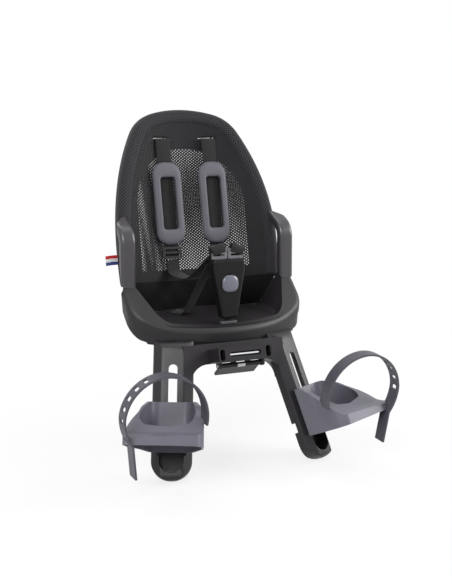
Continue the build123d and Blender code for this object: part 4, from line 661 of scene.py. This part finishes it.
def bent_to_bowl(tree, given, flat):
    """Bends the flat sheet to the bowl, with upright folds that slant a little, and leans it back."""
    calc = partial(math_node, tree)
    spot, bowl = position_parts(tree), given["Bowl Radius"]
    angle = calc("DIVIDE", spot["X"], bowl)
    phase = calc("MULTIPLY", calc("ADD", spot["X"], calc("MULTIPLY", spot["Y"], FOLD_LEAN)), FOLD_RATE)
    fold = calc("MULTIPLY", calc("ADD", calc("SINE", phase), -1.0), given["Fold Height"])
    radius = calc("ADD", bowl, calc("SUBTRACT", fold, spot["Z"]))
    deep = calc("MULTIPLY", radius, calc("COSINE", angle))
    bent = add_node(tree, "CombineXYZ", {
        "X": calc("MULTIPLY", radius, calc("SINE", angle)),
        "Y": spot["Y"],
        "Z": calc("SUBTRACT", BOWL_AXIS, deep),
    }).outputs[0]
    bend = shape_node(tree, "SetPosition", {"Geometry": flat, "Position": bent}).outputs["Geometry"]
    lean = shape_node(tree, "Transform", {
        "Geometry": bend,
        "Translation": BACK_FOOT,
        "Rotation": (math.radians(90) - RECLINE, 0, 0),
    })
    return lean.outputs["Geometry"]


def net_tree():
    """The whole tree: its named inputs, the three steps and the net's material."""
    tree = bpy.data.node_groups.new("perforated_net", "GeometryNodeTree")
    for name, kind in NET_INPUTS:
        tree.interface.new_socket(name, in_out="INPUT", socket_type="NodeSocket" + kind)
    tree.interface.new_socket("Net", in_out="OUTPUT", socket_type="NodeSocketGeometry")
    given = tree.nodes.new("NodeGroupInput").outputs
    made = tree.nodes.new("NodeGroupOutput")
    flat = cells_over_outline(tree, given, staggered_points(tree, given))
    net = bent_to_bowl(tree, given, flat)
    paint = shape_node(tree, "SetMaterial", {"Geometry": net, "Material": given["Thread"]})
    feed(tree, made, {"Net": paint.outputs["Geometry"]})
    return tree


net_nodes = net_tree()
print("net tree nodes:", len(net_nodes.nodes))

# %% [markdown]
# ## One cell and the outline
# A cell is a hexagon with a hole, twelve quads in all, because it is repeated thousands of times. The outline
# is unrolled from the bowl, so the grid keeps its pitch when it is bent, and the two strap slots stay open.

# %% Net cell and outline
HEXAGON = 6
STRAP_X = 0.040
SLOT_HEIGHT = 0.271
SLOT_WIDE = 0.029
SLOT_TALL = 0.006


def hexagon_cell(name, pitch, row_step, hole_share, depth):
    """A hexagon with a hole: six quads in front and six that run back as the hole's wall."""
    mesh = bpy.data.meshes.new(name)
    tall = 2 * row_step / math.sqrt(3)
    wide = pitch / 3
    verts = []
    for share, back in ((1.0, 0.0), (hole_share, 0.0), (hole_share, -depth)):
        for corner in range(HEXAGON):
            angle = math.radians(60 * corner)
            verts.append((wide * share * math.cos(angle), tall * share * math.sin(angle), back))
    faces = []
    for ring in (0, HEXAGON):
        for i in range(HEXAGON):
            j = (i + 1) % HEXAGON
            faces.append((ring + i, ring + j, ring + HEXAGON + j, ring + HEXAGON + i))
    mesh.from_pydata(verts, [], faces)
    return add_object(name, mesh)


def net_region(name, inset, bottom, radius):
    """Flat, unrolled outline of a net with the two strap slots left open."""
    edge = [p - n * inset for p, n in zip(whole_outline, whole_normals)]
    edge = [p for p in edge if p.y >= bottom]
    edge = [Vector((edge[0].x, bottom))] + edge + [Vector((edge[-1].x, bottom))]
    loops = [edge]
    for side in (-1, 1):
        x0, x1 = side * STRAP_X - SLOT_WIDE / 2, side * STRAP_X + SLOT_WIDE / 2
        y0, y1 = SLOT_HEIGHT - SLOT_TALL / 2, SLOT_HEIGHT + SLOT_TALL / 2
        loops.append([Vector(p) for p in ((x0, y0), (x1, y0), (x1, y1), (x0, y1))])
    build = bmesh.new()
    for loop in loops:
        verts = [build.verts.new((radius * math.asin(p.x / radius), p.y, 0)) for p in loop]
        for index, vert in enumerate(verts):
            build.edges.new((vert, verts[(index + 1) % len(verts)]))
    bmesh.ops.triangle_fill(build, edges=build.edges, use_beauty=True)
    return new_piece(name, build)


print("strap slots at", SLOT_HEIGHT, "up the back")

# %% Weave both nets
NET_INSET = 0.0195
NET_BOTTOM = 0.042
NET_WIDTH = 0.262
NET_TOP = 0.302
NET_PITCH = 0.0060
NET_ROW_STEP = 0.00224
FRONT_RADIUS = BOWL_RADIUS + 0.0003
REAR_RADIUS = BOWL_RADIUS + 0.0205
REAR_SLIDE = 0.0030
REAR_FOLD = 0.0005


def set_inputs(piece, tree, values):
    """Adds the tree as a modifier and sets its named inputs by their socket identifiers."""
    modifier = piece.modifiers.new(tree.name, "NODES")
    modifier.node_group = tree
    for item in tree.interface.items_tree:
        if item.item_type == "SOCKET" and item.in_out == "INPUT" and item.name in values:
            modifier[item.identifier] = values[item.name]


def evaluated_mesh(piece):
    """A plain mesh of what a piece's modifiers or curve make."""
    view = bpy.context.evaluated_depsgraph_get()
    return bpy.data.meshes.new_from_object(piece.evaluated_get(view))


def freeze(piece):
    """Turns the evaluated result of a piece into its plain mesh."""
    mesh = evaluated_mesh(piece)
    piece.modifiers.clear()
    old = piece.data
    piece.data = mesh
    mesh.name = piece.name
    bpy.data.meshes.remove(old)


net_thread = moulded("net_thread", (0.012, 0.011, 0.013), 0.1, 0.7, 2500.0, 0.0002, 0.0, 0.3)
for net_name, hole_share, depth, radius, slide, fold, replaced in (
    ("front_net", 0.55, 0.0006, FRONT_RADIUS, 0.0, 0.0, "mesh_panel"),
    ("rear_net", 0.57, 0.0003, REAR_RADIUS, REAR_SLIDE, REAR_FOLD, "rear_mesh"),
):
    net = net_region(net_name, NET_INSET, NET_BOTTOM, radius)
    cell = hexagon_cell(net_name + "_cell", NET_PITCH, NET_ROW_STEP, hole_share, depth)
    set_inputs(net, net_nodes, {
        "Cell": cell,
        "Pitch": NET_PITCH,
        "Row Step": NET_ROW_STEP,
        "Columns": round(NET_WIDTH / NET_PITCH),
        "Rows": round((NET_TOP - NET_BOTTOM) / NET_ROW_STEP),
        "Middle Across": slide,
        "Middle Height": (NET_TOP + NET_BOTTOM) / 2,
        "Bowl Radius": radius,
        "Fold Height": fold,
        "Thread": net_thread,
    })
    freeze(net)
    bpy.data.objects.remove(cell)
    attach(net, "seat")
    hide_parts(replaced)

# %% [markdown]
# ## Lower edge of the back cover
# Below the nets the cover's black cloth runs on and is tucked behind the pan. It lies just in front of the
# shell's rear wall, bulges a little, and shows a few soft folds. Such a small, tight piece needs no cloth
# simulation: a grid of points on the bowl with two slanting waves gives the same folds on every run.

# %% Skirt shape
SKIRT_COLUMNS = 72
SKIRT_ROWS = 14
SKIRT_LOW = -0.001
SKIRT_TOP = 0.0445
SKIRT_SETBACK = -0.0021
SKIRT_BULGE = 0.0045
SKIRT_FOOT_HALF = 0.1000
SKIRT_FLARE = 0.605
SKIRT_FLAT = (0.235, 0.047)
# Radians across the half width and up the height, and share of the fold
SKIRT_FOLDS = ((21, 3.5, 0.35), (9, -5, 0.65))
SKIRT_FOLD_HEIGHT = 0.0016


def skirt_point(across_share, up_share):
    """Point of the tucked cloth: on the bowl, bulging in the middle, with slanting folds."""
    height = SKIRT_LOW + (SKIRT_TOP - SKIRT_LOW) * up_share
    half = SKIRT_FOOT_HALF + SKIRT_FLARE * max(height, 0.0)
    belly = math.sin(math.pi * up_share) * (1 - across_share ** 4)
    fold = sum(math.sin(across_share * turn + up_share * slant) * part for turn, slant, part in SKIRT_FOLDS)
    setback = SKIRT_SETBACK - belly * (SKIRT_BULGE + SKIRT_FOLD_HEIGHT * fold)
    return on_bowl(half * across_share, height, setback)


def sheet_from_grid(name, columns, rows, point_at, width, length):
    """A single layer of cloth from a grid of points, with a UV map in metres."""
    build = bmesh.new()
    uv = build.loops.layers.uv.new("UVMap")
    grid = []
    for row in range(rows + 1):
        places = [point_at(2 * column / columns - 1, row / rows) for column in range(columns + 1)]
        grid.append([build.verts.new(place) for place in places])
    for row in range(rows):
        for column in range(columns):
            corners = ((row, column), (row, column + 1), (row + 1, column + 1), (row + 1, column))
            face = build.faces.new([grid[r][c] for r, c in corners])
            face.smooth = True
            for loop, (r, c) in zip(face.loops, corners):
                loop[uv].uv = (width * c / columns, length * r / rows)
    return new_piece(name, build)


skirt = sheet_from_grid("back_skirt", SKIRT_COLUMNS, SKIRT_ROWS, skirt_point, *SKIRT_FLAT)
print("skirt faces:", len(skirt.data.polygons))

# %% Skirt cloth
# A Wave texture of scale 1 has one band in this length
WAVE_BAND = 0.314159
WEAVE_ROUGHNESS = 0.72
WEAVE_STOPS = (0.05, 0.55)
WEAVE_STRENGTH = 0.7
WEAVE_WOBBLE = {"Distortion": 0.4, "Detail": 1.0, "Detail Scale": 1.5}


def woven(name, thread, gap_shade, pitch, depth, shine):
    """A plain weave on the UV map: two crossing rows of threads, the higher one showing, with painted shade in
    the gaps.
    """
    material, tree = new_material(name, {
        "Roughness": WEAVE_ROUGHNESS,
        "Specular IOR Level": shine,
        "Sheen Weight": shine / 3,
        "Sheen Roughness": SHEEN_ROUGHNESS,
    })
    place = add_node(tree, "TexCoord").outputs["UV"]
    wobble = {"Vector": place, "Scale": WAVE_BAND / pitch, **WEAVE_WOBBLE}
    rows = [
        add_node(tree, "TexWave", wobble, wave_type="BANDS", bands_direction=axis, wave_profile="SIN")
        for axis in ("X", "Y")
    ]
    cross = math_node(tree, "MULTIPLY", *[row.outputs["Fac"] for row in rows])
    # The gap colour is painted shade between the threads, darkest where they sink.
    tinted(tree, cross, zip(WEAVE_STOPS, (gap_shade, thread)))
    raised(tree, cross, WEAVE_STRENGTH, depth)
    return material


# Black thread, and painted shade in the gaps
skirt_cloth = woven("skirt_cloth", (0.004, 0.004, 0.004), (0.001, 0.001, 0.001), 0.0009, 0.0002, 0.1)
skirt.data.materials.append(skirt_cloth)
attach(skirt, "seat")
print("skirt cloth:", skirt_cloth.name)

# %% [markdown]
# ## Harness webbing
# Each strap is a flat band of ribbed webbing, 25 mm wide and 1.6 mm thick, with round selvedges. Its line is
# a NURBS curve with the CAD route's corners as control points. The curve is read back as points, and one
# section of the band is set on each, square to the line. A bevelled curve would twist on such bends.

# %% Webbing bands
WEBBING = 0.025
WEBBING_THICK = 0.0016
WEBBING_SHINE = 0.25
TWILL_STRENGTH = 0.5
ROUTE_STEPS = 16
ROUTE_ORDER = 3
SIDES = (("left", -1), ("right", 1))
# One band section: side of the middle, inset of the round edge, height
BAND_SECTION = (
    (1, 0, 0), (1, 0.3, 0.7), (1, 1, 1), (0, 0, 1), (-1, 1, 1), (-1, 0.3, 0.7),
    (-1, 0, 0), (-1, 0.3, -0.7), (-1, 1, -1), (0, 0, -1), (1, 1, -1), (1, 0.3, -0.7),
)


def smooth_line(points):
    """Points along a NURBS curve that starts and ends on its first and last control point."""
    data = bpy.data.curves.new("strap_route", "CURVE")
    data.dimensions = "3D"
    data.resolution_u = ROUTE_STEPS
    spline = data.splines.new("NURBS")
    spline.points.add(len(points) - 1)
    for control, point in zip(spline.points, points):
        control.co = (*point, 1.0)
    spline.order_u = ROUTE_ORDER
    spline.use_endpoint_u = True
    route = add_object("strap_route", data)
    mesh = evaluated_mesh(route)
    line = [vertex.co.copy() for vertex in mesh.vertices]
    bpy.data.objects.remove(route)
    bpy.data.meshes.remove(mesh)
    return line


def band(name, points, across, width):
    """A band of webbing along a smooth line; across is the direction of its width."""
    line = smooth_line(points)
    edge, tuck = across * width / 2, across * WEBBING_THICK / 2
    sections = []
    for index, point in enumerate(line):
        run = line[min(index + 1, len(line) - 1)] - line[max(index - 1, 0)]
        rise = across.cross(run).normalized() * WEBBING_THICK / 2
        sections.append([
            point + (edge - tuck * inset) * side + rise * height
            for side, inset, height in BAND_SECTION
        ])
    return skin_from_sections(name, sections, webbing_cloth)


def first_node(tree, kind):
    """The first shader node of a kind in a tree."""
    return next(node for node in tree.nodes if node.bl_idname == "ShaderNode" + kind)


def ribbed(name, thread, gap_shade, rib, depth):
    """Webbing: ribs across the band with a finer twill over them, on the UV map."""
    material = woven(name, thread, gap_shade, rib / 2, depth, WEBBING_SHINE)
    tree = material.node_tree
    bump = first_node(tree, "Bump").outputs["Normal"]
    lines = {"Vector": first_node(tree, "TexCoord").outputs["UV"], "Scale": WAVE_BAND / rib}
    twill = add_node(tree, "TexWave", lines, wave_type="BANDS", bands_direction="DIAGONAL")
    over = raised(tree, twill.outputs["Fac"], TWILL_STRENGTH, depth)
    feed(tree, over, {"Normal": bump})
    return material


# Black thread, and painted shade between the ribs
webbing_cloth = ribbed("black_webbing", (0.027, 0.025, 0.028), (0.005, 0.005, 0.005), 0.0016, 0.0003)
print("webbing:", webbing_cloth.name)

# %% Shoulder, lower and hip straps
# Height up the recline and distance in front of it
SHOULDER_ROUTE = [
    (0.084, -0.0016), (0.170, -0.0016), (0.262, -0.0016), (0.271, -0.0016), (0.271, -0.009), (0.271, -0.018),
]
# Start and direction in the ground plan; then distance along it and height
LOWER_START = (0.040, 0.18483)
LOWER_RUN = (-0.25, -0.9685)
LOWER_ROUTE = [
    (0.0, 0.1027), (0.002, 0.092), (0.005, 0.082), (0.027, 0.080), (0.050, 0.082), (0.078, 0.1081),
    (0.106, 0.1342),
]
HIP_START = (0.019, 0.091)
HIP_RUN = (0.488, 0.8727)
HIP_ROUTE = [
    (0.0, 0.116), (0.007, 0.102), (0.014, 0.088), (0.035, 0.0438), (0.042, 0.0291), (0.056, 0.0291),
    (0.0655, 0.0291), (0.0676, 0.0285), (0.0676, 0.0223),
]


def on_upright(start, run, distance, height):
    """Point of an upright plane that stands on a line of the ground plan."""
    return Vector((start[0] + run[0] * distance, start[1] + run[1] * distance, height))


for side_name, side in SIDES:
    mirror = Vector((side, 1, 1))
    shoulder = [on_back(side * STRAP_X, height, out) for height, out in SHOULDER_ROUTE]
    lower = [mirror * on_upright(LOWER_START, LOWER_RUN, run, height) for run, height in LOWER_ROUTE]
    hip = [mirror * on_upright(HIP_START, HIP_RUN, run, height) for run, height in HIP_ROUTE]
    for strap_name, points, across in (
        ("shoulder_strap", shoulder, ACROSS),
        ("lower_strap", lower, mirror * Vector((-LOWER_RUN[1], LOWER_RUN[0], 0))),
        ("hip_strap", hip, mirror * Vector((HIP_RUN[1], -HIP_RUN[0], 0))),
    ):
        strap = band(strap_name + "_webbing_" + side_name, points, across, WEBBING)
        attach(strap, "seat")
        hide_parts(strap_name + "_" + side_name)
        print(strap.name, "faces:", len(strap.data.polygons))

# %% [markdown]
# ## Webbing at the buckle
# Each tongue of the buckle has a slot, and the webbing folds over the tongue's sloping top and goes down behind
# it. A short loop of the same band shows that fold. The crotch strap comes up from the floor into the buckle.

# %% Tongue loops and crotch strap
BUCKLE_FOOT = Vector((0.0, 0.062, 0.031))
BUCKLE_UP = Vector((0.0, 0.13917, 0.99027))
BUCKLE_OUT = Vector((0.0, -0.99027, 0.13917))
TONGUE_MIDDLE = 0.0135
TONGUE_SLOT_HEIGHT = 0.102
TONGUE_SLOPE = math.atan2(8.0, 25.0)
# Height along the slope's normal and distance in front of the tongue's middle plane
LOOP_ROUTE = [
    (0.0024, 0.0027), (0.0050, 0.0038), (0.0085, 0.0044), (0.0125, 0.0040), (0.0156, 0.0008),
    (0.0142, -0.0040), (0.0090, -0.0062), (0.0030, -0.0066),
]
LOOP_WIDTH = 0.0215
CROTCH_WIDTH = 0.020
CROTCH_HEIGHTS = (-0.0087, 0.002, 0.010, 0.0197)
for side_name, side in SIDES:
    outward = ACROSS * side
    along_slope = outward * math.cos(TONGUE_SLOPE) - BUCKLE_UP * math.sin(TONGUE_SLOPE)
    up_slope = BUCKLE_UP * math.cos(TONGUE_SLOPE) + outward * math.sin(TONGUE_SLOPE)
    root = BUCKLE_FOOT + outward * TONGUE_MIDDLE + BUCKLE_UP * TONGUE_SLOT_HEIGHT
    points = [root + up_slope * height + BUCKLE_OUT * out for height, out in LOOP_ROUTE]
    loop_band = band("tongue_loop_webbing_" + side_name, points, along_slope, LOOP_WIDTH)
    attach(loop_band, "seat")

crotch_points = [BUCKLE_FOOT + BUCKLE_UP * height for height in CROTCH_HEIGHTS]
crotch = band("crotch_strap_webbing", crotch_points, ACROSS, CROTCH_WIDTH)
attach(crotch, "seat")
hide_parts("crotch_strap")

# %% [markdown]
# ## Shoulder pads
# A pad is a long foam ring with a window that shows the strap. Its section is crowned: highest near the
# window, falling to a round outer edge, and flat underneath where it lies on the strap. The ring is a closed
# row of such sections between a round outer outline and the window's outline.

# %% Crowned pads
PAD_HALF = (0.024, 0.0655)
PAD_CORNER = 0.020
PAD_WINDOW = (0.013, 0.0415)
PAD_WINDOW_CORNER = 0.005
PAD_MIDDLE = 0.167
PAD_BASE = -0.0004
PAD_STEPS = 12
PAD_SIDE_STEPS = 10
# Share of the way from the outer outline to the window, and height over the base
PAD_PROFILE = [
    (0.06, 0.0), (0.0, 0.0012), (0.0, 0.0032), (0.06, 0.0053), (0.18, 0.0068), (0.36, 0.0077), (0.58, 0.0080),
    (0.80, 0.0079), (0.93, 0.0074), (0.985, 0.0064), (1.0, 0.0050), (1.0, 0.0),
]


def rounded_rectangle(half, corner):
    """Points of a rounded rectangle, anticlockwise from the lower right, as many for every size."""
    points = []
    for index, (sx, sy) in enumerate(((1, -1), (1, 1), (-1, 1), (-1, -1))):
        centre = Vector((sx * (half[0] - corner), sy * (half[1] - corner)))
        for step in range(PAD_STEPS + 1):
            angle = math.radians(-90 + 90 * index + 90 * step / PAD_STEPS)
            points.append(centre + Vector((math.cos(angle), math.sin(angle))) * corner)
    return points


def subdivided(points):
    """Adds points on the long straight runs between the corners."""
    full = []
    for index, point in enumerate(points):
        full.append(point)
        if (index + 1) % (PAD_STEPS + 1) == 0:
            after = points[(index + 1) % len(points)]
            full += [point.lerp(after, k / PAD_SIDE_STEPS) for k in range(1, PAD_SIDE_STEPS)]
    return full


pad_outer, pad_inner = [
    subdivided(rounded_rectangle(half, corner))
    for half, corner in ((PAD_HALF, PAD_CORNER), (PAD_WINDOW, PAD_WINDOW_CORNER))
]
for side_name, side in SIDES:
    sections = []
    for outer, inner in zip(pad_outer, pad_inner):
        ring = []
        for share, height in PAD_PROFILE:
            spot = outer.lerp(inner, share)
            ring.append(on_back(side * STRAP_X + spot.x, PAD_MIDDLE + spot.y, PAD_BASE + height))
        sections.append(ring)
    sections.append(list(sections[0]))
    pad_name = "shoulder_pad_foam_" + side_name
    pad = skin_from_sections(pad_name, sections, FINISHES["pad_foam"], closed_ends=False)
    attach(pad, "seat")
    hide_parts("shoulder_pad_" + side_name)
print("pad sections:", len(pad_outer))

# %% [markdown]
# ## Release button
# The button is a soft square dome. A bevelled box would keep flat faces, so the dome is a stack of rings, and
# each ring is a superellipse: an ellipse with fuller corners.

# %% Domed button
BUTTON_HEIGHT = 0.059
BUTTON_HALF = (0.0136, 0.0132)
BUTTON_POWER = 2.5
BUTTON_POINTS = 64
# Distance in front of the buckle's middle plane, and share of the full outline
BUTTON_RINGS = [
    (0.0082, 1.0), (0.0094, 1.0), (0.0101, 0.985), (0.0108, 0.945), (0.0115, 0.875), (0.0121, 0.775),
    (0.0126, 0.64), (0.0130, 0.47), (0.01325, 0.28), (0.0133, 0.08),
]


def superellipse(angle):
    """Point of the button's outline at a share of one."""
    turns = (math.cos(angle), math.sin(angle))
    return [half * math.copysign(abs(t) ** (2 / BUTTON_POWER), t) for half, t in zip(BUTTON_HALF, turns)]


button_middle = BUCKLE_FOOT + BUCKLE_UP * BUTTON_HEIGHT
button_outline = [superellipse(2 * math.pi * index / BUTTON_POINTS) for index in range(BUTTON_POINTS)]
button_rings = [
    [button_middle + ACROSS * u * share + BUCKLE_UP * v * share + BUCKLE_OUT * out for u, v in button_outline]
    for out, share in BUTTON_RINGS
]
button = skin_from_sections("button_dome", button_rings, FINISHES["button_plastic"])
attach(button, "button")
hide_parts("buckle_button")
print("button faces:", len(button.data.polygons))

# %% [markdown]
# ## Striped ribbon
# A short loop of ribbon is sewn into the side seam of the back. It is a plain woven band with three stripes,
# folded once at its outer end. Its place comes from the CAD's own ribbon, and a formula lays the two layers.

# %% Ribbon loop
RIBBON_STEPS = 40
RIBBON_ROWS = 9
RIBBON_WIDE = 0.015
RIBBON_FOLD = 0.0006
RIBBON_TURN = 0.004
RIBBON_SAG = -0.0010
RIBBON_CURL = 0.0007
RIBBON_CURL_RATE = 4.0
ribbon_low, ribbon_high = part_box("ribbon_tab")
ribbon_length = ribbon_high[0] - ribbon_low[0]
ribbon_reach = ribbon_length - RIBBON_FOLD
ribbon_centre = (Vector(ribbon_low) + Vector(ribbon_high)) / 2


def ribbon_point(along, across_share):
    """Point of the folded ribbon: out along one layer, round the fold and back along the other."""
    travel = (along + 1) * ribbon_reach
    outward = min(travel, 2 * ribbon_reach - travel)
    layer = max(-1.0, min(1.0, (ribbon_reach - travel) / RIBBON_TURN))
    sag = RIBBON_SAG * (outward / ribbon_reach) ** 2
    curl = RIBBON_CURL * math.sin(outward / ribbon_reach * RIBBON_CURL_RATE)
    place = ribbon_centre + ACROSS * (ribbon_length / 2 - outward)
    place = place + BACK_UP * ((across_share - 0.5) * RIBBON_WIDE + sag)
    return place + BACK_OUT * (layer * RIBBON_FOLD + curl)


ribbon_flat = (2 * ribbon_reach, RIBBON_WIDE)
ribbon = sheet_from_grid("ribbon_loop", RIBBON_STEPS, RIBBON_ROWS, ribbon_point, *ribbon_flat)
print("ribbon length:", round(ribbon_flat[0], 4))

# %% Ribbon stripes
RIBBON_COLOURS = ((0.04, 0.06, 0.22), (0.86, 0.86, 0.86), (0.62, 0.03, 0.04))
WEAVE_SHADE = 0.35


def striped(name, colours):
    """A fine weave with even stripes across the UV map's second axis."""
    # Grey weave whose gap colour is painted shade; it darkens the stripes between the threads
    material = woven(name, (0.5, 0.5, 0.5), (0.2, 0.2, 0.2), 0.0007, 0.0001, 0.3)
    tree = material.node_tree
    weave = first_node(tree, "ValToRGB").outputs["Color"]
    parts = add_node(tree, "SeparateXYZ", {0: first_node(tree, "TexCoord").outputs["UV"]})
    level = math_node(tree, "DIVIDE", parts.outputs["Y"], RIBBON_WIDE)
    stripes = tinted(tree, level, zip((0.0, 1 / 3), colours))
    stripes.color_ramp.interpolation = "CONSTANT"
    stripes.color_ramp.elements.new(2 / 3).color = (*colours[2], 1.0)
    inks = {"Fac": WEAVE_SHADE, "Color1": stripes.outputs["Color"], "Color2": weave}
    shade = add_node(tree, "MixRGB", inks, blend_type="MULTIPLY")
    feed(tree, tree.nodes[SHADER], {"Base Color": shade.outputs["Color"]})
    return material


ribbon.data.materials.append(striped("ribbon_stripes", RIBBON_COLOURS))
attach(ribbon, "seat")
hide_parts("ribbon_tab")
print("ribbon stripes:", len(RIBBON_COLOURS))

# %% [markdown]
# ## Painted shade under the tub
# The tub rests on the apron, and a black strip on each side fills the narrow slit between them: painted
# shade, a dark strip where the slit shows only its shadow. Each strip follows the curve of the tub's front
# wall, so its sections stand side by side along that curve.

# %% Strips of painted shade
SHADE_STRIP_INNER = 0.030
SHADE_STRIP_OUTER = 0.062
SHADE_STRIP_STEPS = 12
# Distance behind the wall and height
SHADE_STRIP_CORNERS = ((0.0012, -0.0010), (0.0040, -0.0010), (0.0040, 0.0055), (0.0012, 0.0055))
TUB_FRONT = 0.0450
TUB_CURVE = 1.88


def shade_strip_section(x):
    """Four corners of the strip of painted shade at x, just behind the tub's front wall."""
    wall = TUB_FRONT + TUB_CURVE * x ** 2
    return [Vector((x, wall + y, z)) for y, z in SHADE_STRIP_CORNERS]


for side_name, side in SIDES:
    stations = [SHADE_STRIP_INNER + (SHADE_STRIP_OUTER - SHADE_STRIP_INNER) * step / SHADE_STRIP_STEPS for step in range(SHADE_STRIP_STEPS + 1)]
    sections = [shade_strip_section(side * x) for x in stations]
    # A black strip of painted shade that darkens the slit
    shade_strip = skin_from_sections("tub_seal_" + side_name, sections, FINISHES["mount_plastic"])
    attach(shade_strip, "seat")
    print("tub seal", side_name, "faces:", len(shade_strip.data.polygons))

# %% Finish
print("cad box", [[round(c, 4) for c in v] for v in cad_box])
